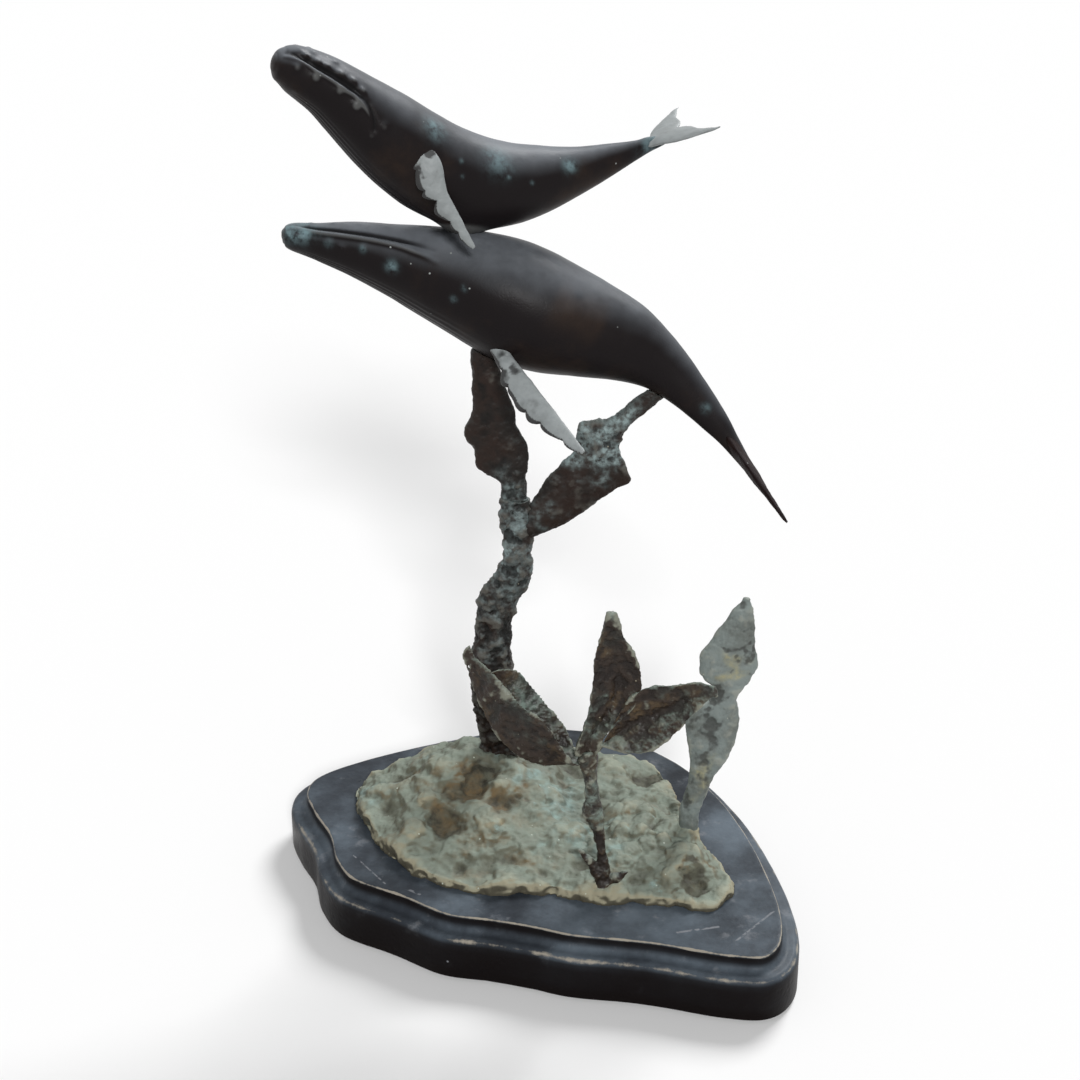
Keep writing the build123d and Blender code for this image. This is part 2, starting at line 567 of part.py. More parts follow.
# Rock and the kelp that stands on it
rock_skin = rock_form()
stalk_root, front_root, side_root = [place_on_rock(place) for place in (KELP_ROOT, FRONT_ROOT, SIDE_ROOT)]
stalk_dowel = Dowel(stalk_root, UP, STALK_DOWEL_RADIUS, STALK_DOWEL_HALF_LENGTH)
front_dowel = Dowel(front_root, UP, PLANT_DOWEL_RADIUS, PLANT_DOWEL_HALF_LENGTH)
side_dowel = Dowel(side_root, UP, PLANT_DOWEL_RADIUS, PLANT_DOWEL_HALF_LENGTH)
sink = UP * ROOT_SINK
toward_viewer = Vector(0, -1, 0)
fork = Vector(*KELP_FORK, seabed + KELP_FORK_HEIGHT)
stalk_skin = carve(limb(stalk_root - sink, fork, toward_viewer, STALK_STATIONS), rock_skin)

frond_start = fork - UP * FROND_START_SINK
chest = mother.belly(CHEST_SEAT, SEAT_DEPTH)
frond_way = (chest - frond_start).normalized()
frond_skin = carve(limb(frond_start, chest, toward_viewer, FROND_STATIONS), stalk_skin, mother_skin)
frond_dowel = Dowel(fork, frond_way, FORK_DOWEL_RADIUS, FORK_DOWEL_HALF_LENGTH)
chest_seat = chest - frond_way * SEAT_DEPTH
chest_dowel = Dowel(chest_seat, frond_way, SEAT_DOWEL_RADIUS, SEAT_DOWEL_HALF_LENGTH)

branch_start = fork - UP * BRANCH_START_DROP
tail = mother.belly(TAIL_SEAT, SEAT_DEPTH)
branch_way = (tail - branch_start).normalized()
branch_raw = limb(branch_start, tail, toward_viewer, BRANCH_STATIONS)
branch_skin = carve(branch_raw, stalk_skin, frond_skin, mother_skin)
branch_seat = branch_start + branch_way * STALK_STATIONS[-1][2]
branch_dowel = Dowel(branch_seat, branch_way, FORK_DOWEL_RADIUS, FORK_DOWEL_HALF_LENGTH)
branch_across = branch_way.cross(toward_viewer).normalized()
tail_seat = tail - branch_way * SEAT_DEPTH + branch_across * TAIL_DOWEL_SWAY
tail_dowel = Dowel(tail_seat, branch_way, SEAT_DOWEL_RADIUS, SEAT_DOWEL_HALF_LENGTH)

# Front plant, its leaves brazed to the stem, and side plant
front_fork = Vector(*FRONT_FORK, seabed + FRONT_FORK_HEIGHT)
front_stem = limb(front_root - sink, front_fork, toward_viewer, FRONT_STEM_STATIONS)
for reach in FRONT_SPIKES:
    spike = limb(front_root, front_root + Vector(*reach), toward_viewer, FRONT_SPIKE_STATIONS)
    front_stem = largest(front_stem + spike)
front_stem = carve(front_stem, rock_skin)
upright_leaf = carve(leaf(front_fork, UPRIGHT_LEAF), front_stem)
left_leaf = carve(leaf(front_fork, LEFT_LEAF), front_stem, upright_leaf)
right_leaf = carve(leaf(front_fork, RIGHT_LEAF), front_stem, upright_leaf)
side_tip = Vector(*SIDE_TIP, seabed + SIDE_HEIGHT)
side_plant = carve(limb(side_root - sink, side_tip, toward_viewer, SIDE_STATIONS), rock_skin)

# Castings with their hollows and holes, and the base
screws, washers, plinth_room, rock_room, rock_bosses = base_fasteners()
root_dowels = [stalk_dowel, front_dowel, side_dowel]
stalk_foot = Vector(*KELP_ROOT, seabed)
stalk_boss = cylinder(stalk_foot, UP, STALK_DOWEL_RADIUS + BOSS_WALL, rock_height(*KELP_ROOT))
core = carve(rock_core(), stalk_boss, *rock_bosses)
seat_dowels = [chest_dowel, tail_dowel, calf_dowel]

nodes = {
    "felt_pad": [felt_pad()],
    "wood_plinth": [carve(wood_plinth(), *plinth_room)],
    "base_screws": screws,
    "base_washers": washers,
    "seabed_rock": [drilled(carve(rock_skin, core, *rock_room), *root_dowels)],
    "kelp_stalk": [drilled(stalk_skin, stalk_dowel, frond_dowel, branch_dowel)],
    "chest_frond": [drilled(frond_skin, frond_dowel, chest_dowel)],
    "tail_branch": [drilled(branch_skin, branch_dowel, tail_dowel)],
    "front_stem": [drilled(front_stem, front_dowel)],
    "front_left_leaf": [left_leaf],
    "front_upright_leaf": [upright_leaf],
    "front_right_leaf": [right_leaf],
    "side_plant": [drilled(side_plant, side_dowel)],
    "mother_body": [hollowed(mother, mother_skin, seat_dowels + mother_dowels)],
    "mother_left_flipper": [mother_left_flipper],
    "mother_right_flipper": [mother_right_flipper],
    "mother_flukes": [carve(mother_flukes, mother_skin)],
    "calf_body": [hollowed(calf, calf_skin, [calf_dowel] + calf_dowels)],
    "calf_left_flipper": [calf_left_flipper],
    "calf_right_flipper": [calf_right_flipper],
    "calf_flukes": [carve(calf_flukes, calf_skin)],
    "root_dowels": [dowel.pin() for dowel in root_dowels],
    "fork_dowels": [dowel.pin() for dowel in (frond_dowel, branch_dowel)],
    "seat_dowels": [dowel.pin() for dowel in seat_dowels],
    "flipper_dowels": [dowel.pin() for dowel in flipper_dowels],
}
os.makedirs("parts", exist_ok=True)
for name, solids in nodes.items():
    shape = solids[0] if len(solids) == 1 else Compound(solids)
    export_step(shape, f"parts/{name}.step")
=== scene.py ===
"""Bronze whale cow and calf over kelp and rock, on a painted plinth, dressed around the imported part."""

import logging
import math
from dataclasses import dataclass, replace
from enum import Enum
from typing import Any, Sequence

import bmesh
import bpy
import numpy as np
from mathutils import Matrix, Vector, noise

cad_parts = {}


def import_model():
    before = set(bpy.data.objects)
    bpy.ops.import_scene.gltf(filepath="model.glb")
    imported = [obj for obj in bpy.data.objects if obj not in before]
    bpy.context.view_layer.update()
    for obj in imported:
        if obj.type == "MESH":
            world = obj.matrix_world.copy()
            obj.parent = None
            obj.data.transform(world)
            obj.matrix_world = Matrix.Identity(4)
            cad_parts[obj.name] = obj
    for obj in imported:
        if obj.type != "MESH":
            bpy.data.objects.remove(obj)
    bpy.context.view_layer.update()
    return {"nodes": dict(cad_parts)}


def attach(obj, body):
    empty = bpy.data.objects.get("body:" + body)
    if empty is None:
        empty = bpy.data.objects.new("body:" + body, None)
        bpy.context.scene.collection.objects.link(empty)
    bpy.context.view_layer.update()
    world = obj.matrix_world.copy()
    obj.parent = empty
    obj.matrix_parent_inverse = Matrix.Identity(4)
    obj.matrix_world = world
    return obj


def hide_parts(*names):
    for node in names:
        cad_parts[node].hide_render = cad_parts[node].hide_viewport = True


LOG = logging.getLogger("whales")
MM = 0.001
BODY = "root"
MERGE_DISTANCE = 0.005 * MM
RELIEF, BLOOM, EDGE = "relief", "bloom", "edge"
NUMBER, VECTOR = "NodeSocketFloat", "NodeSocketVector"
Colour = tuple[float, float, float]
Place = tuple[float, float, float]
Span = tuple[float, float]
Fade = tuple[float, float, float, float]
Patches = tuple[float, float, Span]
Octaves = tuple[float, float, int]
Stations = tuple[tuple[float, float, float, float], ...]


class Graph:
    """A node tree with short calls that add nodes and join their sockets."""

    def __init__(self, tree: bpy.types.NodeTree) -> None:
        """Take over a tree and empty it."""
        self.tree = tree
        tree.nodes.clear()

    def add(
        self, kind: str, settings: dict[str, Any] | None = None, inputs: dict[Any, Any] | None = None
    ) -> bpy.types.Node:
        """Add a node.

        Args:
            kind: the node's type name.
            settings: values for the node's own properties.
            inputs: a number, a colour or an output socket for each named input.
        Returns:
            The new node.
        """
        node = self.tree.nodes.new(kind)
        for name, value in (settings or {}).items():
            setattr(node, name, value)
        for name, value in (inputs or {}).items():
            self.feed(node.inputs[name], value)
        return node

    def feed(self, socket: bpy.types.NodeSocket, value: Any) -> None:
        """Join an output socket to an input, or set the input to a plain value."""
        if isinstance(value, bpy.types.NodeSocket):
            self.tree.links.new(value, socket)
        elif isinstance(value, tuple) and socket.type == "RGBA":
            socket.default_value = (*value, 1.0)
        else:
            socket.default_value = value

    def math(self, operation: str, first: Any, second: Any = 0.0) -> bpy.types.NodeSocket:
        """Return the result of one sum on two values."""
        node = self.add("ShaderNodeMath", {"operation": operation}, {0: first, 1: second})
        return node.outputs[0]

    def vector(self, operation: str, first: Any, second: Any) -> bpy.types.NodeSocket:
        """Return the result of one sum on two vectors: a vector, or a number where the sum gives one."""
        node = self.add("ShaderNodeVectorMath", {"operation": operation}, {0: first, 1: second})
        return node.outputs["Value" if operation in ("DOT_PRODUCT", "DISTANCE") else "Vector"]

    def blend(self, share: Any, below: Any, above: Any) -> bpy.types.NodeSocket:
        """Return the colour below with the colour above laid over it by share."""
        node = self.add("ShaderNodeMix", {"data_type": "RGBA"}, {0: share, 6: below, 7: above})
        return node.outputs[2]

    def span(
        self, value: Any, low: Any, high: Any, start: Any = 0.0, end: Any = 1.0
    ) -> bpy.types.NodeSocket:
        """Return value eased from start at low to end at high."""
        inputs = {"Value": value, "From Min": low, "From Max": high, "To Min": start, "To Max": end}
        return self.add("ShaderNodeMapRange", {"interpolation_type": "SMOOTHSTEP"}, inputs).outputs["Result"]

    def both(self, first: Any, second: Any) -> bpy.types.NodeSocket:
        """Return one mask held back by another."""
        return self.math("MULTIPLY", first, second)

    def either(self, first: Any, second: Any) -> bpy.types.NodeSocket:
        """Return the stronger of two masks."""
        return self.math("MAXIMUM", first, second)

    def cloud(
        self, place: Any, scale: Any, detail: Any = 2.0, roughness: float = 0.5
    ) -> bpy.types.NodeSocket:
        """Return soft noise, from 0 to 1."""
        inputs = {"Vector": place, "Scale": scale, "Detail": detail, "Roughness": roughness}
        return self.add("ShaderNodeTexNoise", None, inputs).outputs["Fac"]

    def cells(self, place: Any, scale: Any) -> bpy.types.Node:
        """Return a texture of scattered cells."""
        return self.add("ShaderNodeTexVoronoi", None, {"Vector": place, "Scale": scale})

    def attribute(self, name: str) -> bpy.types.NodeSocket:
        """Return a number that is stored on the mesh."""
        return self.add("ShaderNodeAttribute", {"attribute_name": name}).outputs["Fac"]


class NodeKit:
    """The node groups that the finishes share, each built once and placed with its own values."""

    blotch_roughness: float = 0.62
    speck_core: float = 0.45
    scratch_core: float = 0.4
    scratch_breaks: float = 420.0
    scratch_broken: Span = (0.38, 0.56)
    grain_noise: Span = (5.0, 0.6)
    pit_spacing: float = 0.8
    pit_reach: float = 0.45
    chip_noise: Span = (8.0, 0.7)
    chip_range: Span = (-0.02, 0.16)

    def __init__(self) -> None:
        """Build every group."""
        makers = (self.blotches, self.specks, self.scratch, self.upward, self.grain, self.chipped)
        self.trees = {maker.__name__: maker() for maker in makers}

    def group(
        self, name: str, inputs: dict[str, str], output: str
    ) -> tuple[Graph, dict[str, bpy.types.NodeSocket], bpy.types.NodeSocket]:
        """Start a node group.

        Args:
            name: the group's name.
            inputs: the socket type for each named input.
            output: the name of its one output, a number.
        Returns:
            The group's graph, the sockets of its inputs by name and the socket that takes its result.
        """
        tree = bpy.data.node_groups.new(name, "ShaderNodeTree")
        for label, kind in inputs.items():
            tree.interface.new_socket(name=label, in_out="INPUT", socket_type=kind)
        tree.interface.new_socket(name=output, in_out="OUTPUT", socket_type=NUMBER)
        graph = Graph(tree)
        given = graph.add("NodeGroupInput").outputs
        return graph, {label: given[label] for label in inputs}, graph.add("NodeGroupOutput").inputs[output]

    def place(self, graph: Graph, name: str, **inputs: Any) -> bpy.types.NodeSocket:
        """Place a group in a material and return its output."""
        node = graph.add("ShaderNodeGroup", {"node_tree": self.trees[name]}, inputs)
        return node.outputs[0]

    def patches(
        self, graph: Graph, place: Any, scale: float, detail: float, span: Span
    ) -> bpy.types.NodeSocket:
        """Place soft patches in a material.

        Args:
            graph: the material's graph.
            place: the socket with the place on the object.
            scale: how many patches there are to a metre, roughly.
            detail: how finely they are broken up.
            span: the noise at which a patch starts and the noise at which it is full.
        Returns:
            The patches' mask.
        """
        low, high = span
        return self.place(graph, "blotches", Place=place, Scale=scale, Detail=detail, Low=low, High=high)

    def facing_up(self, graph: Graph, span: Span) -> bpy.types.NodeSocket:
        """Return how far a face looks up, eased between two heights of its normal."""
        low, high = span
        return self.place(graph, "upward", Low=low, High=high)

    def roughen(
        self, graph: Graph, shader: bpy.types.Node, place: Any, scale: float, depth: float
    ) -> None:
        """Give a shader the fine relief of a cast or brushed skin, its depth in millimetres."""
        height = self.place(graph, "grain", Place=place, Scale=scale)
        bump = graph.add("ShaderNodeBump", None, {"Height": height, "Strength": 1.0, "Distance": depth * MM})
        graph.feed(shader.inputs["Normal"], bump.outputs["Normal"])

    def blotches(self) -> bpy.types.NodeTree:
        """Return the group for soft uneven patches."""
        sockets = {"Place": VECTOR, "Scale": NUMBER, "Detail": NUMBER, "Low": NUMBER, "High": NUMBER}
        graph, given, out = self.group("blotches", sockets, "Mask")
        cloud = graph.cloud(given["Place"], given["Scale"], given["Detail"], self.blotch_roughness)
        graph.feed(out, graph.span(cloud, given["Low"], given["High"]))
        return graph.tree

    def specks(self) -> bpy.types.NodeTree:
        """Return the group for scattered small round spots."""
        sockets = {"Place": VECTOR, "Scale": NUMBER, "Radius": NUMBER, "Chance": NUMBER}
        graph, given, out = self.group("specks", sockets, "Mask")
        cells = graph.cells(given["Place"], given["Scale"])
        core = graph.math("MULTIPLY", given["Radius"], self.speck_core)
        spot = graph.span(cells.outputs["Distance"], given["Radius"], core)
        draw = graph.add("ShaderNodeSeparateColor", None, {"Color": cells.outputs["Color"]})
        chosen = graph.math("LESS_THAN", draw.outputs["Red"], given["Chance"])
        graph.feed(out, graph.both(spot, chosen))
        return graph.tree

    def scratch(self) -> bpy.types.NodeTree:
        """Return the group for one straight scratch between two points."""
        sockets = {"Place": VECTOR, "Start": VECTOR, "End": VECTOR, "Width": NUMBER}
        graph, given, out = self.group("scratch", sockets, "Mask")
        away = graph.vector("SUBTRACT", given["Place"], given["Start"])
        way = graph.vector("SUBTRACT", given["End"], given["Start"])
        over, square = graph.vector("DOT_PRODUCT", away, way), graph.vector("DOT_PRODUCT", way, way)
        share = graph.add("ShaderNodeClamp", None, {"Value": graph.math("DIVIDE", over, square)}).outputs[0]
        scaled = graph.add("ShaderNodeVectorMath", {"operation": "SCALE"}, {0: way, "Scale": share})
        distance = graph.vector("DISTANCE", away, scaled.outputs[0])
        core = graph.math("MULTIPLY", given["Width"], self.scratch_core)
        line = graph.span(distance, given["Width"], core)
        breaks = graph.span(graph.cloud(given["Place"], self.scratch_breaks), *self.scratch_broken)
        graph.feed(out, graph.both(line, breaks))
        return graph.tree

    def upward(self) -> bpy.types.NodeTree:
        """Return the group that masks faces that look up: for dust, painted sheen and painted shade."""
        graph, given, out = self.group("upward", {"Low": NUMBER, "High": NUMBER}, "Mask")
        normal = graph.add("ShaderNodeNewGeometry").outputs["Normal"]
        height = graph.add("ShaderNodeSeparateXYZ", None, {0: normal}).outputs["Z"]
        graph.feed(out, graph.span(height, given["Low"], given["High"]))
        return graph.tree

    def grain(self) -> bpy.types.NodeTree:
        """Return the group for the fine height of a cast or brushed skin."""
        graph, given, out = self.group("grain", {"Place": VECTOR, "Scale": NUMBER}, "Height")
        fine = graph.cloud(given["Place"], given["Scale"], *self.grain_noise)
        pits = graph.cells(given["Place"], graph.math("MULTIPLY", given["Scale"], self.pit_spacing))
        deep = graph.span(pits.outputs["Distance"], 0.0, self.pit_reach)
        graph.feed(out, graph.both(fine, deep))
        return graph.tree

    def chipped(self) -> bpy.types.NodeTree:
        """Return the group for paint that has worn off along edges."""
        sockets = {"Place": VECTOR, "Edge": NUMBER, "Scale": NUMBER}
        graph, given, out = self.group("chipped", sockets, "Mask")
        coarse = graph.cloud(given["Place"], given["Scale"], *self.chip_noise)
        level = graph.math("SUBTRACT", given["Edge"], coarse)
        graph.feed(out, graph.span(level, *self.chip_range))
        return graph.tree


def new_material(name: str) -> tuple[bpy.types.Material, Graph, bpy.types.Node]:
    """Start a material.

    Args:
        name: the material's name.
    Returns:
        The material, its graph and its main shader.
    """
    material = bpy.data.materials.new(name)
    material.use_nodes = True
    graph = Graph(material.node_tree)
    shader = graph.add("ShaderNodeBsdfPrincipled")
    out = graph.add("ShaderNodeOutputMaterial")
    graph.feed(out.inputs["Surface"], shader.outputs["BSDF"])
    return material, graph, shader


@dataclass(frozen=True)
class Scratch:
    """A pale scratch between two points, in millimetres."""

    start: Place
    end: Place
    width: float

    def mask(self, kit: NodeKit, graph: Graph, place: Any) -> bpy.types.NodeSocket:
        """Return the scratch's mask."""
        start, end = tuple(v * MM for v in self.start), tuple(v * MM for v in self.end)
        return kit.place(graph, "scratch", Place=place, Start=start, End=end, Width=self.width * MM)


@dataclass(frozen=True)
class Patina:
    """A cast bronze surface: its ground colour and what age has laid over it, with painted sheen on faces
    that look up and painted shade on steep faces.
    """

    name: str
    slot: str
    ground: Colour
    mottle: Colour
    mottle_scale: float
    mottle_range: Span
    hollow: Colour
    hollow_share: float
    raised: Colour
    raised_share: float
    # The sky colour, with its share and range, paints a sheen: the overhead light's reflection on faces that
    # look up.
    sky: Colour
    sky_share: float
    sky_range: Span
    bloom: Colour
    bloom_scale: float
    bloom_range: Span
    speck: Colour
    speck_spacing: float
    speck_radius: float
    speck_chance: float
    roughness: Span
    specular: float
    grain_scale: float
    grain_height: float
    scratches: tuple[Scratch, ...] = ()
    steep_shade_share: float = 0.0
    hollow_evenness: float = 1.0
    mottle_detail: float = 6.0
    uneven_finer: float = 2.3
    uneven_detail: float = 4.0
    uneven_range: Span = (0.2, 0.75)
    warm_least: float = 0.3
    hollow_range: Span = (-0.05, -0.75)
    raised_range: Span = (0.3, 1.0)
    sky_least: float = 0.55
    sky_over_relief: Fade = (-0.7, 0.0, 0.1, 1.0)
    level_range: Span = (0.05, 0.55)
    bloom_detail: float = 7.0
    stain_finer: float = 1.7
    stain_range: Span = (0.28, 0.68)
    bloom_over_relief: Fade = (-0.6, 0.1, 0.15, 1.0)

    def material(self, kit: NodeKit) -> bpy.types.Material:
        """Return the finish as a material."""
        material, graph, shader = new_material(self.name)
        place = graph.add("ShaderNodeTexCoord").outputs["Object"]
        relief, bloom = graph.attribute(RELIEF), graph.attribute(BLOOM)
        uneven_scale = self.mottle_scale * self.uneven_finer
        uneven = kit.patches(graph, place, uneven_scale, self.uneven_detail, self.uneven_range)
        mottled = kit.patches(graph, place, self.mottle_scale, self.mottle_detail, self.mottle_range)
        warm = graph.both(graph.span(bloom, 0.0, -1.0), graph.span(uneven, 0.0, 1.0, self.warm_least, 1.0))
        colour = graph.blend(graph.either(mottled, warm), self.ground, self.mottle)
        # Darker in hollows and paler on raised places, by the stored relief: patina, plus painted shade and
        # painted highlight where the relief holds a casting's standing term.
        sunk = graph.span(relief, *self.hollow_range, 0.0, self.hollow_share)
        sunk = graph.both(sunk, graph.span(uneven, 0.0, 1.0, 1.0, self.hollow_evenness))
        colour = graph.blend(sunk, colour, self.hollow)
        proud = graph.span(relief, *self.raised_range, 0.0, self.raised_share)
        colour = graph.blend(proud, colour, self.raised)
        # Painted sheen: faces that look up take the sky colour, patchy and kept out of hollows, in place of
        # the overhead light's reflection.
        top_sheen = kit.facing_up(graph, self.sky_range)
        patchy = graph.span(uneven, 0.0, 1.0, self.sky_least * self.sky_share, self.sky_share)
        top_sheen = graph.both(graph.both(top_sheen, patchy), graph.span(relief, *self.sky_over_relief))
        colour = graph.blend(top_sheen, colour, self.sky)
        # Painted shade: steep and downward-facing faces take the hollow colour.
        level = kit.facing_up(graph, self.level_range)
        colour = graph.blend(graph.span(level, 1.0, 0.0, 0.0, self.steep_shade_share), colour, self.hollow)
        cloud = kit.patches(graph, place, self.bloom_scale, self.bloom_detail, self.bloom_range)
        stain_scale = self.bloom_scale * self.stain_finer
        stains = kit.patches(graph, place, stain_scale, self.bloom_detail, self.stain_range)
        green = graph.either(cloud, graph.both(graph.either(bloom, 0.0), stains))
        green = graph.both(green, graph.span(relief, *self.bloom_over_relief))
        colour = graph.blend(green, colour, self.bloom)
        specks = kit.place(
            graph, "specks", Place=place, Scale=1 / (self.speck_spacing * MM),
            Radius=self.speck_radius / self.speck_spacing, Chance=self.speck_chance,
        )
        for scratch in self.scratches:
            specks = graph.either(specks, scratch.mask(kit, graph, place))
        colour = graph.blend(specks, colour, self.speck)
        graph.feed(shader.inputs["Base Color"], colour)
        graph.feed(shader.inputs["Roughness"], graph.span(uneven, 0.0, 1.0, *self.roughness))
        shader.inputs["Specular IOR Level"].default_value = self.specular
        kit.roughen(graph, shader, place, self.grain_scale, self.grain_height)
        return material


@dataclass(frozen=True)
class PaintedWood:
    """Black paint on wood: dusty above, with a painted sheen on the top, worn to the bare wood along the
    edges; the pale line on the bead is partly a painted highlight.
    """

    name: str
    slot: str
    paint: Colour
    # Faces that look up take a dusty blue-grey: dust, and a painted sheen of the light on the top.
    dust_and_sheen: Colour
    haze_and_sheen: Colour
    scuff: Colour
    bare: Colour
    scratches: tuple[Scratch, ...]
    dust_and_sheen_range: Span = (-0.1, 0.8)
    dust_and_sheen_least: float = 0.6
    uneven_patches: Patches = (26.0, 7.0, (0.25, 0.7))
    haze_patches: Patches = (20.0, 8.0, (0.36, 0.74))
    scuff_patches: Patches = (85.0, 9.0, (0.56, 0.72))
    scuff_share: float = 0.5
    speck_scale: float = 70.0
    speck_radius: float = 0.055
    speck_chance: float = 0.16
    scratch_share: float = 0.7
    chip_scale: float = 60.0
    roughness: Span = (0.26, 0.42)
    specular: float = 0.07
    grain_scale: float = 340.0
    grain_height: float = 0.12

    def material(self, kit: NodeKit) -> bpy.types.Material:
        """Return the finish as a material."""
        material, graph, shader = new_material(self.name)
        place = graph.add("ShaderNodeTexCoord").outputs["Object"]
        uneven = kit.patches(graph, place, *self.uneven_patches)
        # Faces that look up: dusty, and a painted sheen of the light.
        patchy = graph.span(uneven, 0.0, 1.0, self.dust_and_sheen_least, 1.0)
        top_sheen = graph.both(kit.facing_up(graph, self.dust_and_sheen_range), patchy)
        cloud = kit.patches(graph, place, *self.haze_patches)
        colour = graph.blend(top_sheen, self.paint, graph.blend(cloud, self.dust_and_sheen, self.haze_and_sheen))
        scuffs = graph.both(kit.patches(graph, place, *self.scuff_patches), top_sheen)
        specks = kit.place(
            graph, "specks", Place=place, Scale=self.speck_scale, Radius=self.speck_radius,
            Chance=self.speck_chance,
        )
        marks = graph.either(graph.both(scuffs, self.scuff_share), specks)
        for scratch in self.scratches:
            marks = graph.either(marks, graph.both(scratch.mask(kit, graph, place), self.scratch_share))
        colour = graph.blend(marks, colour, self.scuff)
        # Paint worn to the wood along the edges; its pale grey on the bead is partly a painted highlight.
        worn = kit.place(graph, "chipped", Place=place, Edge=graph.attribute(EDGE), Scale=self.chip_scale)
        graph.feed(shader.inputs["Base Color"], graph.blend(worn, colour, self.bare))
        graph.feed(shader.inputs["Roughness"], graph.span(uneven, 0.0, 1.0, *self.roughness))
        shader.inputs["Specular IOR Level"].default_value = self.specular
        kit.roughen(graph, shader, place, self.grain_scale, self.grain_height)
        return material


@dataclass(frozen=True)
class PlainStock:
    """Felt or bar stock that the plinth and the castings hide, in one colour with a fine grain."""

    name: str
    slot: str
    dark: Colour
    light: Colour
    scale: float
    roughness: float
    metallic: float
    fleck_detail: float = 4.0
    fleck_range: Span = (0.3, 0.7)
    grain_finer: float = 2.0
    grain_height: float = 0.2

    def material(self, kit: NodeKit) -> bpy.types.Material:
        """Return the finish as a material."""
        material, graph, shader = new_material(self.name)
        place = graph.add("ShaderNodeTexCoord").outputs["Object"]
        fleck = kit.patches(graph, place, self.scale, self.fleck_detail, self.fleck_range)
        graph.feed(shader.inputs["Base Color"], graph.blend(fleck, self.dark, self.light))
        shader.inputs["Roughness"].default_value = self.roughness
        shader.inputs["Metallic"].default_value = self.metallic
        kit.roughen(graph, shader, place, self.scale * self.grain_finer, self.grain_height)
        return material


WHALE_BRONZE = Patina(
    name="whale_bronze", slot="bronze_whale",
    ground=(0.0070, 0.0052, 0.0056), mottle=(0.036, 0.021, 0.013),
    mottle_scale=15.0, mottle_range=(0.48, 0.78),
    hollow=(0.0025, 0.0022, 0.0025), hollow_share=0.95, raised=(0.11, 0.112, 0.11), raised_share=0.65,
    sky=(0.17, 0.185, 0.205), sky_share=1.0, sky_range=(0.3, 1.05),
    bloom=(0.17, 0.25, 0.27), bloom_scale=160.0, bloom_range=(0.76, 0.9),
    speck=(0.30, 0.32, 0.31), speck_spacing=8.0, speck_radius=0.55, speck_chance=0.4,
    roughness=(0.36, 0.46), specular=0.09, grain_scale=900.0, grain_height=0.05,
    scratches=(
        Scratch((-29.0, 20.6, 276.0), (-10.5, 21.0, 253.5), 0.55),
    ),
)
FLUKE_BRONZE = replace(
    WHALE_BRONZE, name="fluke_bronze", ground=(0.012, 0.006, 0.006), raised_share=0.1, sky_share=0.05,
    scratches=(), roughness=(0.55, 0.65), specular=0.03,
)
# Flippers and the calf's flukes: paler than the bodies' bronze, partly patina and partly a painted reflection
# of the overhead light on their upturned faces.
FIN_BRONZE = Patina(
    name="fin_bronze", slot="bronze_fin",
    ground=(0.20, 0.215, 0.215), mottle=(0.12, 0.13, 0.13),
    mottle_scale=60.0, mottle_range=(0.4, 0.66),
    hollow=(0.012, 0.011, 0.011), hollow_share=0.95, raised=(0.40, 0.43, 0.43), raised_share=0.6,
    sky=(0.36, 0.39, 0.395), sky_share=0.8, sky_range=(-0.1, 0.8),
    bloom=(0.22, 0.28, 0.28), bloom_scale=200.0, bloom_range=(0.7, 0.85),
    speck=(0.42, 0.44, 0.43), speck_spacing=6.0, speck_radius=0.4, speck_chance=0.15,
    roughness=(0.4, 0.52), specular=0.3, grain_scale=900.0, grain_height=0.07,
)
KELP_BRONZE = Patina(
    name="kelp_bronze", slot="bronze_kelp",
    ground=(0.021, 0.0125, 0.0095), mottle=(0.014, 0.0115, 0.010),
    mottle_scale=60.0, mottle_range=(0.42, 0.66),
    hollow=(0.006, 0.005, 0.0045), hollow_share=0.9, raised=(0.12, 0.115, 0.10), raised_share=0.6,
    sky=(0.15, 0.18, 0.175), sky_share=0.5, sky_range=(0.1, 0.9),
    bloom=(0.26, 0.33, 0.33), bloom_scale=210.0, bloom_range=(0.7, 0.86),
    speck=(0.28, 0.26, 0.2), speck_spacing=5.0, speck_radius=0.4, speck_chance=0.15,
    roughness=(0.34, 0.5), specular=0.14, grain_scale=700.0, grain_height=0.25,
)
LEAF_BRONZE = Patina(
    name="leaf_bronze", slot="bronze_leaf",
    ground=(0.025, 0.0165, 0.0115), mottle=(0.085, 0.056, 0.027),
    mottle_scale=70.0, mottle_range=(0.5, 0.78),
    hollow=(0.010, 0.0065, 0.0048), hollow_share=0.9, raised=(0.21, 0.215, 0.17), raised_share=0.85,
    sky=(0.22, 0.27, 0.235), sky_share=0.7, sky_range=(0.2, 0.95),
    bloom=(0.21, 0.28, 0.245), bloom_scale=160.0, bloom_range=(0.68, 0.84),
    speck=(0.36, 0.33, 0.24), speck_spacing=5.0, speck_radius=0.4, speck_chance=0.15,
    roughness=(0.34, 0.5), specular=0.26, grain_scale=700.0, grain_height=0.2,
)
PALE_LEAF_BRONZE = Patina(
    name="pale_leaf_bronze", slot="bronze_leaf",
    ground=(0.175, 0.205, 0.195), mottle=(0.10, 0.11, 0.098),
    mottle_scale=60.0, mottle_range=(0.42, 0.68),
    hollow=(0.03, 0.03, 0.027), hollow_share=0.8, raised=(0.27, 0.28, 0.24), raised_share=0.6,
    sky=(0.30, 0.34, 0.31), sky_share=0.7, sky_range=(0.1, 0.9),
    bloom=(0.38, 0.34, 0.17), bloom_scale=120.0, bloom_range=(0.74, 0.9),
    speck=(0.38, 0.38, 0.32), speck_spacing=6.0, speck_radius=0.4, speck_chance=0.12,
    roughness=(0.42, 0.6), specular=0.35, grain_scale=700.0, grain_height=0.16,
)
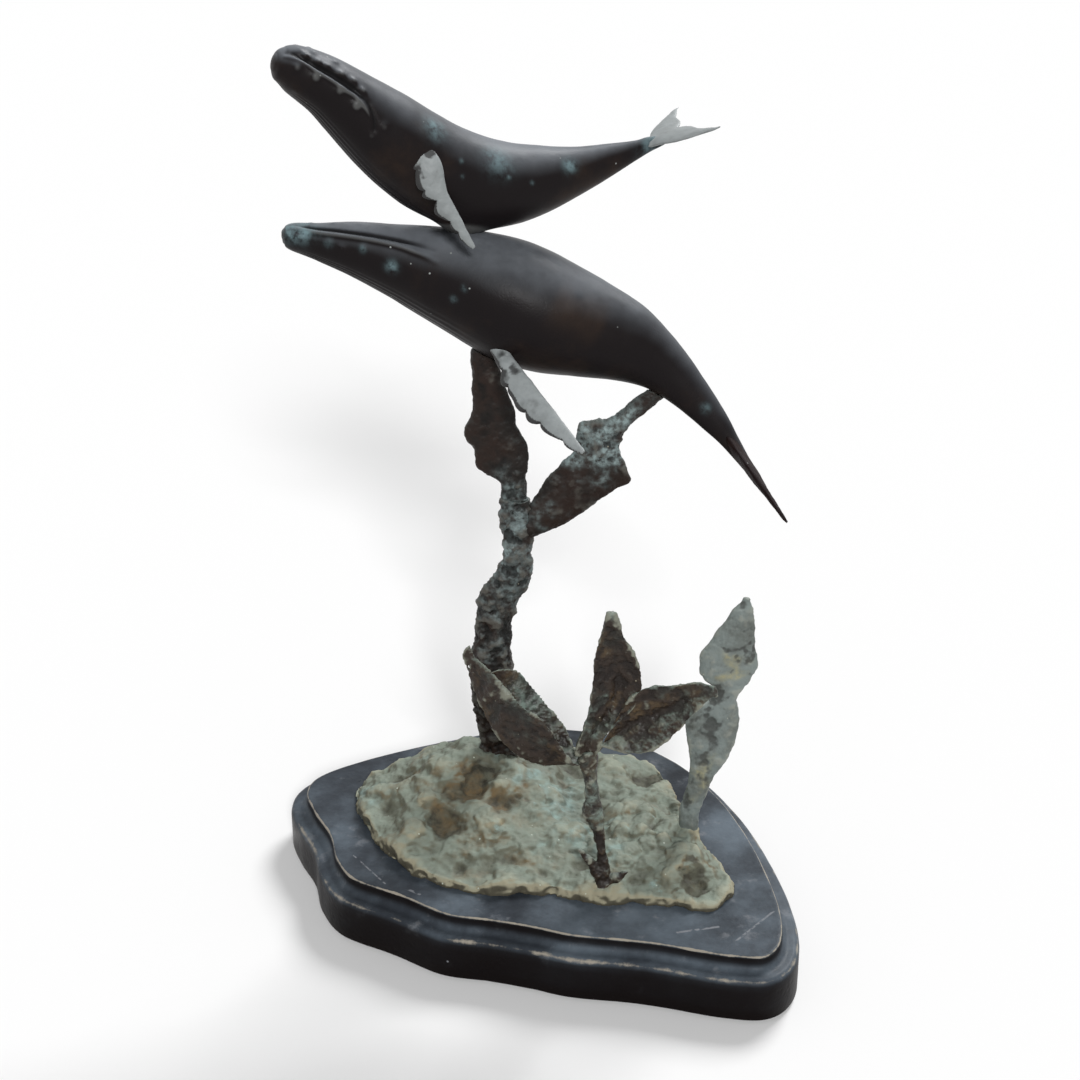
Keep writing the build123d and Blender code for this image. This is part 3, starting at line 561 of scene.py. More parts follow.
ROCK_BRONZE = Patina(
    name="rock_bronze", slot="bronze_rock",
    ground=(0.125, 0.128, 0.094), mottle=(0.17, 0.118, 0.058),
    mottle_scale=55.0, mottle_range=(0.5, 0.7),
    hollow=(0.022, 0.018, 0.012), hollow_share=0.95, raised=(0.36, 0.335, 0.235), raised_share=0.8,
    sky=(0.27, 0.325, 0.275), sky_share=0.7, sky_range=(0.62, 1.0),
    bloom=(0.30, 0.43, 0.41), bloom_scale=70.0, bloom_range=(0.62, 0.8),
    # Painted shade on the rock's steep sides.
    steep_shade_share=0.8, hollow_evenness=0.25,
    speck=(0.55, 0.6, 0.52), speck_spacing=4.0, speck_radius=0.5, speck_chance=0.15,
    roughness=(0.6, 0.82), specular=0.25, grain_scale=420.0, grain_height=0.5,
)
PLINTH_PAINT = PaintedWood(
    name="plinth_paint", slot="black_painted_wood",
    paint=(0.0036, 0.0020, 0.0019), dust_and_sheen=(0.032, 0.038, 0.047), haze_and_sheen=(0.125, 0.155, 0.185),
    scuff=(0.24, 0.25, 0.27), bare=(0.33, 0.30, 0.25),
    scratches=(
        Scratch((85.0, -72.0, 29.5), (104.0, -50.0, 29.5), 0.7),
        Scratch((-86.0, -8.0, 29.5), (-70.0, -30.0, 29.5), 0.5),
        Scratch((60.0, -66.0, 29.5), (78.0, -62.0, 29.5), 0.9),
        Scratch((-60.0, -34.0, 29.5), (-54.0, -38.0, 29.5), 0.9),
    ),
)
FELT = PlainStock("felt", "felt", (0.008, 0.009, 0.008), (0.02, 0.021, 0.02), 900.0, 0.95, 0.0)
STEEL = PlainStock("zinc_steel", "steel", (0.3, 0.3, 0.31), (0.5, 0.5, 0.5), 500.0, 0.35, 1.0)
PIN_BRONZE = PlainStock(
    "pin_bronze", "bronze_pin", (0.012, 0.009, 0.006), (0.03, 0.021, 0.013), 500.0, 0.5, 0.0
)


class Tooling(Enum):
    """The ways in which the wax for a casting was worked."""

    SWELL = "swell"
    LUMP = "lump"
    CRAG = "crag"
    PIT = "pit"


SWELL_NOISE: Octaves = (1.0, 2.1, 4)
CRAG_OCTAVES = 4
LUMP_ROUNDNESS, SEAM_DEPTH, SEAM_SHARPNESS = 1.9, 0.35, 6.0
PIT_RADIUS, PIT_FLATNESS = 0.34, 0.6


@dataclass(frozen=True)
class Work:
    """One pass of tooling over a surface, its spacing and depth in millimetres."""

    kind: Tooling
    spacing: float
    depth: float
    shift: float = 0.0
    middle: Place | None = None
    radius: float = 0.0

    def reach(self, place: Vector) -> float:
        """Return how strongly the pass was made at a place."""
        if self.middle is None:
            return 1.0
        return math.exp(-(((place / MM - Vector(self.middle)).length / self.radius) ** 2))

    def height(self, place: Vector) -> float:
        """Return how far the surface stands up at a place, in metres."""
        at = place / (self.spacing * MM) + Vector((self.shift, -self.shift, 0.5 * self.shift))
        if self.kind is Tooling.SWELL:
            share = noise.fractal(at, *SWELL_NOISE)
        elif self.kind is Tooling.CRAG:
            share = 1.0 - 2.0 * noise.turbulence(at, CRAG_OCTAVES, True)
        else:
            near, far = noise.voronoi(at)[0][:2]
            if self.kind is Tooling.LUMP:
                seam = max(0.0, 1.0 - SEAM_SHARPNESS * (far - near))
                share = 1.0 - LUMP_ROUNDNESS * near * near - SEAM_DEPTH * seam
            else:
                share = -max(0.0, 1.0 - near / PIT_RADIUS) ** PIT_FLATNESS
        return share * self.depth * MM * self.reach(place)


@dataclass(frozen=True)
class Spot:
    """A mark at a place on a casting, in millimetres."""

    place: Place
    radius: float
    depth: float = 0.0
    bloom: float = 0.0
    shade: float = 0.0
    shift: Place = (0.0, 0.0, 0.0)


def ramp(values: np.ndarray, start: float, length: float) -> np.ndarray:
    """Return a rise from 0 at the start to 1 after a length, which goes backwards where it is negative."""
    return np.clip((values - start) / length, 0, 1)


@dataclass(frozen=True)
class Scallops:
    """The knobs along a flipper's leading edge: how many, and how deep the notches between them are."""

    count: int
    depth: float
    slices: int = 50
    least_chord: float = 2e-5
    unevenness: float = 0.03
    waves: float = 17.0
    flatness: float = 0.55
    first: float = 0.06
    last: float = 0.97
    run_out: float = 0.1
    notch_from: float = 0.2
    notch_ease: float = 1.5
    rim_from: float = 0.6
    rim_width: float = 0.3

    def cut(self, points: np.ndarray) -> tuple[np.ndarray, np.ndarray]:
        """Notch the leading edge.

        Args:
            points: the flipper's points.
        Returns:
            The points with the notches, and how near that edge each lies, from 0 to 1.
        """
        middle = points.mean(0)
        span, chord = np.linalg.svd(points - middle, full_matrices=False)[2][:2]
        chord = chord * -np.sign(chord[0])
        along, across = (points - middle) @ span, (points - middle) @ chord
        along = (along - along.min()) / np.ptp(along)
        cells = np.minimum((along * self.slices).astype(int), self.slices - 1)
        front = np.array([across[cells == cell].max(initial=-1.0) for cell in range(self.slices)])
        back = np.array([across[cells == cell].min(initial=1.0) for cell in range(self.slices)])
        chords = np.maximum(front - back, self.least_chord)[cells]
        share = (across - (front + back)[cells] / 2) / (chords / 2)
        turn = np.pi * self.count * (along + self.unevenness * np.sin(self.waves * along))
        notch = 1 - np.abs(np.sin(turn)) ** self.flatness
        fade = ramp(along, self.first, self.run_out) * ramp(along, self.last, -self.run_out)
        inwards = ramp(share, self.notch_from, 1 - self.notch_from) ** self.notch_ease
        move = self.depth * MM * notch * fade * inwards
        return points - move[:, None] * chord, ramp(share, self.rim_from, self.rim_width)


def store(mesh: bpy.types.Mesh, name: str, values: np.ndarray) -> None:
    """Keep one number for each vertex under a name."""
    attribute = mesh.attributes.new(name, "FLOAT", "POINT")
    attribute.data.foreach_set("value", np.ascontiguousarray(values, np.float32))


def vectors(items: Any, name: str) -> np.ndarray:
    """Return one vector of each item as rows."""
    flat = np.zeros(len(items) * 3, np.float32)
    items.foreach_get(name, flat)
    return flat.reshape(-1, 3).astype(float)


def coordinates(mesh: bpy.types.Mesh) -> np.ndarray:
    """Return the mesh's vertices as rows."""
    return vectors(mesh.vertices, "co")


def normals(mesh: bpy.types.Mesh) -> np.ndarray:
    """Return the mesh's vertex normals as rows."""
    return vectors(mesh.vertex_normals, "vector")


def set_skin(mesh: bpy.types.Mesh, points: np.ndarray, relief: np.ndarray, bloom: np.ndarray) -> None:
    """Move a mesh's vertices, and store the relief and bloom that its finish reads."""
    mesh.vertices.foreach_set("co", points.astype(np.float32).ravel())
    for name, values in ((RELIEF, relief), (BLOOM, bloom)):
        store(mesh, name, np.clip(values, -1.0, 1.0))
    mesh.update()


def as_mesh(form: bmesh.types.BMesh, name: str) -> bpy.types.Mesh:
    """Return a finished form as a mesh."""
    mesh = bpy.data.meshes.new(name)
    form.to_mesh(mesh)
    form.free()
    return mesh


def add_object(name: str, data: bpy.types.ID | None) -> bpy.types.Object:
    """Return a new object in the scene."""
    added = bpy.data.objects.new(name, data)
    bpy.context.scene.collection.objects.link(added)
    return added


def keep_largest_shell(form: bmesh.types.BMesh) -> None:
    """Delete the crumbs that a remesh leaves beside the form."""
    left, shells = set(form.verts), []
    while left:
        front = [left.pop()]
        shell = set(front)
        while front:
            vert = front.pop()
            found = {edge.other_vert(vert) for edge in vert.link_edges} & left
            left -= found
            shell |= found
            front.extend(found)
        shells.append(shell)
    largest = max(shells, key=len)
    crumbs = [vert for vert in form.verts if vert not in largest]
    bmesh.ops.delete(form, geom=crumbs, context="VERTS")


def standing(mesh: bpy.types.Mesh, rounds: int) -> np.ndarray:
    """Return how far each vertex stands out of its surroundings, in metres.

    Args:
        mesh: the mesh to measure.
        rounds: how often the surroundings are evened out, which sets how wide they are.
    Returns:
        A height for each vertex, below zero in hollows.
    """
    points = coordinates(mesh)
    count = len(points)
    ends = np.zeros(len(mesh.edges) * 2, np.int32)
    mesh.edges.foreach_get("vertices", ends)
    first, second = ends.reshape(-1, 2).T
    degree = np.maximum(np.bincount(ends, minlength=count), 1)[:, None]
    eased = points.copy()
    for _ in range(rounds):
        sums = [
            np.bincount(first, eased[second, axis], count) + np.bincount(second, eased[first, axis], count)
            for axis in range(3)
        ]
        eased = 0.5 * eased + 0.5 * np.stack(sums, 1) / degree
    return ((points - eased) * normals(mesh)).sum(1)


def finish_piece(
    name: str, mesh: bpy.types.Mesh, material: bpy.types.Material, node: str
) -> bpy.types.Object:
    """Make a mesh a piece that stands for a CAD node.

    Args:
        name: the piece's name.
        mesh: its mesh, in place.
        material: its finish.
        node: the CAD node it stands for.
    Returns:
        The piece.
    """
    mesh.polygons.foreach_set("use_smooth", [True] * len(mesh.polygons))
    mesh.materials.clear()
    mesh.materials.append(material)
    piece = add_object(name, mesh)
    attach(piece, BODY)
    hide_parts(node)
    LOG.info("%s: %d faces, for %s", name, len(mesh.polygons), node)
    return piece


SMOOTHING = 0.5
SCALLOP_SHADE = 2.4
STAIN_DRIFT, STAIN_GRAIN, STAIN_OCTAVES = 1.7, 9 * MM, 3
STAIN_FRAYING, STAIN_SHRUNK, STAIN_SPREAD = 2.4, 1.5, -0.6
STAIN_SEED = 7


@dataclass(frozen=True)
class Casting:
    """A casting whose wax was tooled by hand: the CAD node's form with a worked skin."""

    node: str
    finish: Patina
    voxel: float
    passes: tuple[Work, ...]
    spots: tuple[Spot, ...] = ()
    smoothing: int = 3
    scallops: Scallops | None = None
    contrast: float = 1.6
    rounds: int = 40
    shading: float = 0.8
    tone: float = 0.0
    swell: float = 0.0

    def build(self, nodes: dict[str, bpy.types.Object], material: bpy.types.Material) -> bpy.types.Object:
        """Make the casting.

        Args:
            nodes: the CAD nodes by name.
            material: the finish's material.
        Returns:
            The piece.
        """
        mesh = self.worked(self.recast(nodes[self.node]))
        return finish_piece(f"{self.node}_casting", mesh, material, self.node)

    def recast(self, node: bpy.types.Object) -> bpy.types.Mesh:
        """Return a merged copy of the node's form with an even skin of small faces."""
        form = bmesh.new()
        form.from_mesh(node.data)
        bmesh.ops.remove_doubles(form, verts=form.verts, dist=MERGE_DISTANCE)
        form.normal_update()
        for vert in form.verts:
            vert.co += vert.normal * self.swell * MM
        rough = as_mesh(form, f"{self.node}_form")
        holder = add_object(f"{self.node}_form", rough)
        remesh = holder.modifiers.new("skin", "REMESH")
        remesh.mode = "VOXEL"
        remesh.voxel_size = self.voxel * MM
        evaluated = holder.evaluated_get(bpy.context.evaluated_depsgraph_get())
        mesh = bpy.data.meshes.new_from_object(evaluated)
        bpy.data.objects.remove(holder)
        bpy.data.meshes.remove(rough)
        mesh.name = f"{self.node}_casting"
        skin = bmesh.new()
        skin.from_mesh(mesh)
        keep_largest_shell(skin)
        for _ in range(self.smoothing):
            bmesh.ops.smooth_vert(
                skin, verts=skin.verts, factor=SMOOTHING, use_axis_x=True, use_axis_y=True, use_axis_z=True
            )
        skin.to_mesh(mesh)
        skin.free()
        return mesh

    def worked(self, mesh: bpy.types.Mesh) -> bpy.types.Mesh:
        """Return the mesh with its tooling, and with the relief and bloom that the finish reads; the relief
        also holds painted shade and painted highlight.
        """
        points = coordinates(mesh)
        places = [Vector(point) for point in points]
        heights = np.array([sum(work.height(place) for work in self.passes) for place in places])
        share = heights / (sum(work.depth for work in self.passes) * MM)
        # Relief: the tooling's height, whose hollows take dark patina and whose high spots pale, plus the
        # standing term weighed by shading, which darkens hollows and pales crests and rims as painted shade
        # and painted highlight; tone shifts it all.
        relief = self.tone + self.contrast * share + self.shading * standing(mesh, self.rounds) / MM
        bloom, shift = np.zeros(len(points)), np.zeros_like(points)
        uneven = 1 + np.clip(STAIN_FRAYING * share, STAIN_SPREAD, STAIN_SHRUNK)
        stirred = [noise.turbulence_vector(place / STAIN_GRAIN, STAIN_OCTAVES, False) for place in places]
        drift = STAIN_DRIFT * np.array(stirred)
        for spot in self.spots:
            offset = (points - np.array(spot.place) * MM) / (spot.radius * MM)
            reach = np.exp(-np.sum(offset**2, axis=1))
            patch = np.exp(-np.sum((offset + drift) ** 2, axis=1) * uneven)
            heights += reach * spot.depth * MM
            relief += patch * spot.shade
            bloom += patch * spot.bloom
            shift += reach[:, None] * np.array(spot.shift) * MM
        moved = points + normals(mesh) * heights[:, None] + shift
        if self.scallops is not None:
            moved, rim = self.scallops.cut(moved)
            relief -= rim * SCALLOP_SHADE
        set_skin(mesh, moved, relief, bloom)
        return mesh


def between(rows: Sequence[Sequence[float]], shares: np.ndarray) -> np.ndarray:
    """Return rows on a smooth curve through the given rows.

    Args:
        rows: the rows that the curve passes.
        shares: places along the curve, counted in rows.
    Returns:
        One row for each share.
    """
    table = np.array(rows, float)
    last = len(table) - 1
    index = np.minimum(shares.astype(int), last - 1)
    part = (shares - index)[:, None]
    a, b = table[np.maximum(index - 1, 0)], table[index]
    c, d = table[index + 1], table[np.minimum(index + 2, last)]
    bend = 2 * a - 5 * b + 4 * c - d
    return 0.5 * (2 * b + (c - a) * part + bend * part**2 + (3 * b - a - 3 * c + d) * part**3)


@dataclass(frozen=True)
class Mark:
    """A line or point on a whale's skin, through (share of the length, degrees round from the back)."""

    path: tuple[Span, ...]
    width: float
    height: float = 0.0
    bloom: float = 0.0
    run_out: float = 0.2
    end_share: float = 0.25

    def fade(self, count: int) -> np.ndarray:
        """Return how strong the mark is at each of the points on its path: a line runs out at both ends."""
        if len(self.path) == 1:
            return np.ones(count)
        share = np.linspace(0.0, 1.0, count)
        return np.clip(np.minimum(share, 1 - share) / self.run_out, self.end_share, 1.0)


def dots(*rows: tuple[float, ...]) -> tuple[Mark, ...]:
    """Return marks at single points, from rows of share, degrees, width, height and, for some, bloom."""
    return tuple(Mark((row[:2],), *row[2:]) for row in rows)


@dataclass(frozen=True)
class WhaleBody:
    """A whale's body: ovals along a bent spine, with a carved head."""

    node: str
    length: float
    depth: float
    profile: Stations
    yaw: float
    roll: float
    pin_share: float
    pin: Place
    marks: tuple[Mark, ...]
    pleats: Span
    finish: Patina = WHALE_BRONZE
    rings_per_station: int = 18
    segments: int = 168
    path_steps: int = 40
    mark_reach: float = 4.0
    swell_depth: float = 0.25
    swell_spacing: float = 22.0
    swell_noise: Octaves = (1.0, 2.0, 3)
    pleat_count: int = 40
    pleat_depth: float = 0.14
    pleat_half_angle: float = 48.0
    pleat_edge_angle: float = 14.0
    pleat_start: float = 0.05
    pleat_end: float = 0.1
    full_relief: float = 0.9

    def axes(self) -> tuple[np.ndarray, np.ndarray, np.ndarray]:
        """Return the directions along the whale, up from its spine and out to its left."""
        yaw, roll = math.radians(self.yaw), math.radians(self.roll)
        along = np.array((math.cos(yaw), math.sin(yaw), 0.0))
        away = np.array((-math.sin(yaw), math.cos(yaw), 0.0))
        up = np.array((0.0, 0.0, math.cos(roll))) + away * math.sin(roll)
        return along, up, np.cross(along, up)

    def rows(self) -> np.ndarray:
        """Return along, up, half depth and half width, in metres, for each ring."""
        count = (len(self.profile) - 1) * self.rings_per_station + 1
        table = []
        for share, rise, half_depth, breadth in self.profile:
            half = half_depth * self.depth / 2
            table.append((share * self.length, rise * self.length, half, half * breadth))
        return between(table, np.linspace(0, len(table) - 1, count)) * MM

    def rings(self) -> list[Matrix]:
        """Return the place of each oval: its half axes, its heading and its centre."""
        along, up, left = self.axes()
        rows = self.rows()
        shares = rows[:, 0] / (self.length * MM)
        pinned = [np.interp(self.pin_share, shares, rows[:, column]) for column in (0, 1)]
        origin = np.array(self.pin) * MM - along * pinned[0] - up * pinned[1]
        way = np.gradient(rows[:, :2], axis=0)
        way /= np.linalg.norm(way, axis=1)[:, None]
        places = []
        for (ahead, rise, half_depth, half_width), (run, climb) in zip(rows, way):
            heading = along * run + up * climb
            over = up * run - along * climb
            centre = origin + along * ahead + up * rise
            columns = np.stack([-left * half_width, over * half_depth, heading, centre], axis=1)
            places.append(Matrix([*columns.tolist(), (0.0, 0.0, 0.0, 1.0)]))
        return places

    def build(self, material: bpy.types.Material) -> bpy.types.Object:
        """Bridge the ovals, carve the skin and return the piece."""
        form = bmesh.new()
        hoops = []
        for place in self.rings():
            made = bmesh.ops.create_circle(
                form, cap_ends=False, radius=1.0, segments=self.segments, matrix=place
            )
            hoops.append(list(dict.fromkeys(edge for vert in made["verts"] for edge in vert.link_edges)))
        for first, second in zip(hoops, hoops[1:]):
            bmesh.ops.bridge_loops(form, edges=first + second)
        for hoop in (hoops[0], hoops[-1]):
            cap = bmesh.ops.contextual_create(form, geom=hoop)["faces"]
            bmesh.ops.poke(form, faces=cap)
        bmesh.ops.recalc_face_normals(form, faces=form.faces)
        mesh = as_mesh(form, f"{self.node}_skin")
        self.carve(mesh)
        return finish_piece(f"{self.node}_skin", mesh, material, self.node)

    def carve(self, mesh: bpy.types.Mesh) -> None:
        """Raise and sink the marks, the pleats and a slight hand-made swell."""
        points, out = coordinates(mesh), normals(mesh)
        rows = self.rows()
        skin = len(rows) * self.segments
        grid = points[:skin].reshape(len(rows), self.segments, 3)
        shares = rows[:, 0] / (self.length * MM)
        places = [Vector(point) / (self.swell_spacing * MM) for point in points]
        swell = np.array([noise.fractal(at, *self.swell_noise) for at in places])
        relief, bloom = np.zeros(len(points)), np.zeros(len(points))
        for mark in self.marks:
            for side in (1, -1):
                line = self.trace(grid, shares, mark.path, side)
                margin = self.mark_reach * mark.width * MM
                inside = np.all((points > line.min(0) - margin) & (points < line.max(0) + margin), axis=1)
                gaps = np.linalg.norm(points[inside][:, None, :] - line[None, :, :], axis=2)
                reach = np.exp(-((gaps.min(1) / (mark.width * MM)) ** 2))
                reach *= mark.fade(len(line))[gaps.argmin(1)]
                relief[inside] += reach * mark.height * MM
                bloom[inside] += reach * mark.bloom
        relief[:skin] += self.folds(shares).ravel()
        moved = points + out * (self.swell_depth * MM * swell + relief)[:, None]
        set_skin(mesh, moved, relief / (self.full_relief * MM), bloom)

    def folds(self, shares: np.ndarray) -> np.ndarray:
        """Return the depth of the throat pleats, in metres, by ring and segment."""
        angles = np.degrees(2 * np.pi * np.arange(self.segments) / self.segments)
        low, high = self.pleats
        run = ramp(shares, low, self.pleat_start) * ramp(shares, high, -self.pleat_end)
        under = ramp(np.abs(angles - 180), self.pleat_half_angle, -self.pleat_edge_angle)
        ridges = np.cos(np.radians(angles * self.pleat_count)) - 1
        return self.pleat_depth * MM * run[:, None] * (under * ridges)[None, :]

    def trace(self, grid: np.ndarray, shares: np.ndarray, path: Sequence[Span], side: int) -> np.ndarray:
        """Return points on the skin along a path.

        Args:
            grid: the skin's vertices, by ring and segment.
            shares: each ring's share of the length.
            path: the path's shares and angles.
            side: 1 for the left side and -1 for the right.
        Returns:
            The points as rows.
        """
        steps = 1 if len(path) == 1 else self.path_steps * (len(path) - 1)
        marks = between([*path, path[-1]], np.linspace(0, len(path) - 1, steps))
        ring = np.interp(marks[:, 0], shares, np.arange(len(shares)))
        turn = (side * marks[:, 1] / 360 * self.segments) % self.segments
        row, column = ring.astype(int), turn.astype(int)
        row = np.minimum(row, len(shares) - 2)
        down, across = (ring - row)[:, None], (turn - column)[:, None]
        after = (column + 1) % self.segments
        upper = grid[row, column] * (1 - across) + grid[row, after] * across
        lower = grid[row + 1, column] * (1 - across) + grid[row + 1, after] * across
        return upper * (1 - down) + lower * down


MOTHER = WhaleBody(
    node="mother_body", length=194.5, depth=52.4, yaw=0.0, roll=19.0,
    pin_share=0.506, pin=(-13.0, 48.8, 279.5),
    profile=(
        (0.000, 0.155, 0.05, 1.10), (0.005, 0.155, 0.13, 1.12), (0.021, 0.153, 0.22, 1.14),
        (0.080, 0.142, 0.31, 1.14), (0.165, 0.125, 0.45, 1.10), (0.252, 0.101, 0.60, 1.06),
        (0.337, 0.075, 0.76, 1.02), (0.424, 0.046, 0.91, 1.00), (0.506, 0.013, 1.00, 0.98),
        (0.591, -0.021, 0.97, 0.96), (0.676, -0.049, 0.84, 0.92), (0.761, -0.081, 0.68, 0.84),
        (0.838, -0.128, 0.48, 0.74), (0.902, -0.187, 0.34, 0.66), (0.964, -0.256, 0.23, 0.60),
        (1.000, -0.303, 0.15, 0.60), (1.030, -0.345, 0.10, 0.90), (1.065, -0.392, 0.05, 1.60),
    ),
    pleats=(0.04, 0.5),
    marks=(
        Mark(((0.030, 40), (0.060, 46), (0.094, 52), (0.157, 57), (0.256, 58), (0.330, 64)), 1.0, -0.8),
        Mark(
            ((0.020, 56), (0.043, 61), (0.087, 65), (0.154, 67), (0.207, 67), (0.256, 68), (0.305, 73),
             (0.340, 78)), 1.2, 0.85,
        ),
        Mark(((0.012, 75), (0.025, 60), (0.07, 45)), 4.5, 0.0, 1.8),
        Mark(((0.58, 66), (0.72, 74)), 12.0, 0.0, -0.7),
        *dots(
            (0.109, 89, 2.0, 0.3, 0.3), (0.186, 85, 1.6, 0.4, 0.5), (0.254, 101, 2.3, 0.2, 0.9),
            (0.412, 96, 1.2, 0.1, 0.5), (0.399, 112, 1.3, 0.1, 0.6), (0.639, 58, 2.4, 0.1, 0.6),
            (0.940, 85, 2.0, 0.0, 0.5), (0.060, 20, 1.4, 0.45), (0.110, 24, 1.5, 0.45), (0.165, 27, 1.5, 0.4),
            (0.220, 30, 1.5, 0.35), (0.045, 90, 1.5, 0.4), (0.140, 95, 1.5, 0.4),
        ),
    ),
)
CALF = WhaleBody(
    node="calf_body", length=164.5, depth=40.4, yaw=20.0, roll=0.0,
    pin_share=0.508, pin=(-28.949, 55.99, 329.905),
    profile=(
        (0.002, 0.455, 0.06, 1.10), (0.006, 0.4535, 0.18, 1.10), (0.020, 0.448, 0.34, 1.10),
        (0.060, 0.430, 0.49, 1.08), (0.137, 0.380, 0.61, 1.06), (0.207, 0.319, 0.75, 1.04),
        (0.274, 0.258, 0.88, 1.02), (0.346, 0.196, 0.96, 1.00), (0.422, 0.143, 1.00, 1.00),
        (0.508, 0.106, 0.98, 0.98), (0.599, 0.091, 0.89, 0.96), (0.693, 0.094, 0.74, 0.92),
        (0.781, 0.105, 0.56, 0.86), (0.872, 0.124, 0.38, 0.78), (0.964, 0.147, 0.21, 0.70),
        (1.000, 0.158, 0.17, 0.66), (1.035, 0.165, 0.12, 1.00), (1.075, 0.178, 0.05, 2.20),
    ),
    pleats=(0.06, 0.5),
    marks=(
        Mark(
            ((0.020, 34), (0.046, 47), (0.076, 56), (0.103, 59), (0.130, 61), (0.152, 62), (0.172, 64),
             (0.194, 68)), 1.5, -1.5,
        ),
        Mark(
            ((0.018, 52), (0.046, 59), (0.076, 67), (0.103, 70), (0.130, 72), (0.150, 74), (0.169, 73),
             (0.194, 78), (0.210, 84), (0.223, 93)), 0.9, 0.9,
        ),
        Mark(((0.194, 70), (0.212, 79), (0.228, 92), (0.234, 102)), 1.1, -0.6),
        *dots(
            (0.508, 180, 9.0, 2.2), (0.046, 26, 1.6, 0.4), (0.055, 41, 1.3, 0.9), (0.081, 46, 1.4, 0.9),
            (0.100, 46, 1.2, 0.7), (0.130, 49, 1.5, 0.9), (0.154, 48, 1.3, 0.8), (0.175, 57, 1.5, 0.9),
            (0.070, 22, 1.4, 0.6), (0.115, 25, 1.4, 0.6), (0.045, 77, 1.9, 0.6), (0.086, 80, 1.8, 0.9),
            (0.139, 80, 1.7, 0.8), (0.179, 83, 1.9, 1.1), (0.065, 132, 1.6, 0.4), (0.234, 103, 1.8, 0.6),
            (0.242, 83, 2.0, 0.5), (0.333, 40, 4.5, 0.0, 1.0), (0.539, 42, 6.0, 0.0, 0.8),
            (0.764, 58, 3.0, 0.0, 1.0), (0.417, 63, 0.9, 0.1, 0.5), (0.434, 79, 0.8, 0.1, 0.5),
            (0.569, 67, 0.8, 0.1, 0.5), (0.640, 76, 0.8, 0.1, 0.5), (1.01, 60, 6.0, 0.0, 0.45),
        ),
    ),
)


def leaf(node: str, *spots: Spot) -> Casting:
    """Return a leaf of the front plant, with its stains."""
    work = (Work(Tooling.SWELL, 7.0, 0.9), Work(Tooling.SWELL, 2.4, 0.35, 2.0))
    # Tone and shading darken each leaf's middle and pale its rims: painted shade and painted highlight of its
    # cupped form, over the patina.
    return Casting(node, LEAF_BRONZE, 0.36, work, spots, tone=-0.25, rounds=110, shading=1.1, swell=0.45)


def fin(
    node: str, voxel: float, notches: Scallops | None, *spots: Spot, finish: Patina = FIN_BRONZE
) -> Casting:
    """Return a flipper or a pair of flukes.

    Args:
        node: the CAD node's name.
        voxel: the size of the skin's faces.
        notches: the knobs along the leading edge, which flukes don't have.
        spots: the places where it is bent or stained.
        finish: its patina.
    Returns:
        The casting.
    """
    work = (Work(Tooling.SWELL, 7.0, 0.25),)
    return Casting(node, finish, voxel, work, spots, contrast=0.5, scallops=notches)


KELP = (
    Casting("kelp_stalk", KELP_BRONZE, 0.5, (
        Work(Tooling.CRAG, 9.0, 1.0), Work(Tooling.SWELL, 4.5, 1.1, 3.0), Work(Tooling.PIT, 4.6, 0.6, 3.0),
    ), contrast=3.0, spots=(
        Spot((-10.8, 38.0, 177.0), 13.0, bloom=1.0), Spot((-9.0, 38.0, 157.0), 11.0, bloom=0.9),
        Spot((-18.0, 38.0, 140.0), 9.0, bloom=0.5), Spot((-20.0, 38.0, 116.0), 10.0, bloom=0.3),
    )),
    Casting("chest_frond", KELP_BRONZE, 0.5, (
        Work(Tooling.SWELL, 10.0, 0.8), Work(Tooling.SWELL, 3.4, 0.35, 2.0),
        Work(Tooling.SWELL, 3.4, 0.9, 3.0, (-11.0, 40.0, 190.0), 12.0),
    ), contrast=2.2, tone=-0.15, spots=(
        Spot((-11.0, 38.0, 190.0), 9.0, bloom=0.8), Spot((-21.0, 38.0, 246.0), 6.0, shade=0.4),
    )),
    Casting("tail_branch", KELP_BRONZE, 0.45, (
        Work(Tooling.SWELL, 9.0, 0.6), Work(Tooling.SWELL, 3.4, 0.35, 5.0),
        Work(Tooling.CRAG, 9.0, 1.5, 1.0, (27.0, 40.0, 219.0), 13.0),
    ), contrast=2.6, spots=(
        Spot((38.5, 40.0, 197.5), 4.0, shift=(3.6, 0.0, -0.8)),
        Spot((22.0, 38.0, 219.0), 11.0, bloom=1.0), Spot((31.0, 38.0, 221.0), 9.0, bloom=1.0),
        Spot((27.0, 38.0, 210.0), 7.0, bloom=0.9), Spot((37.0, 38.0, 230.0), 6.0, bloom=0.8),
        Spot((2.0, 38.0, 180.0), 6.0, bloom=0.4), Spot((14.0, 38.0, 194.0), 9.0, shade=0.5),
    )),
)
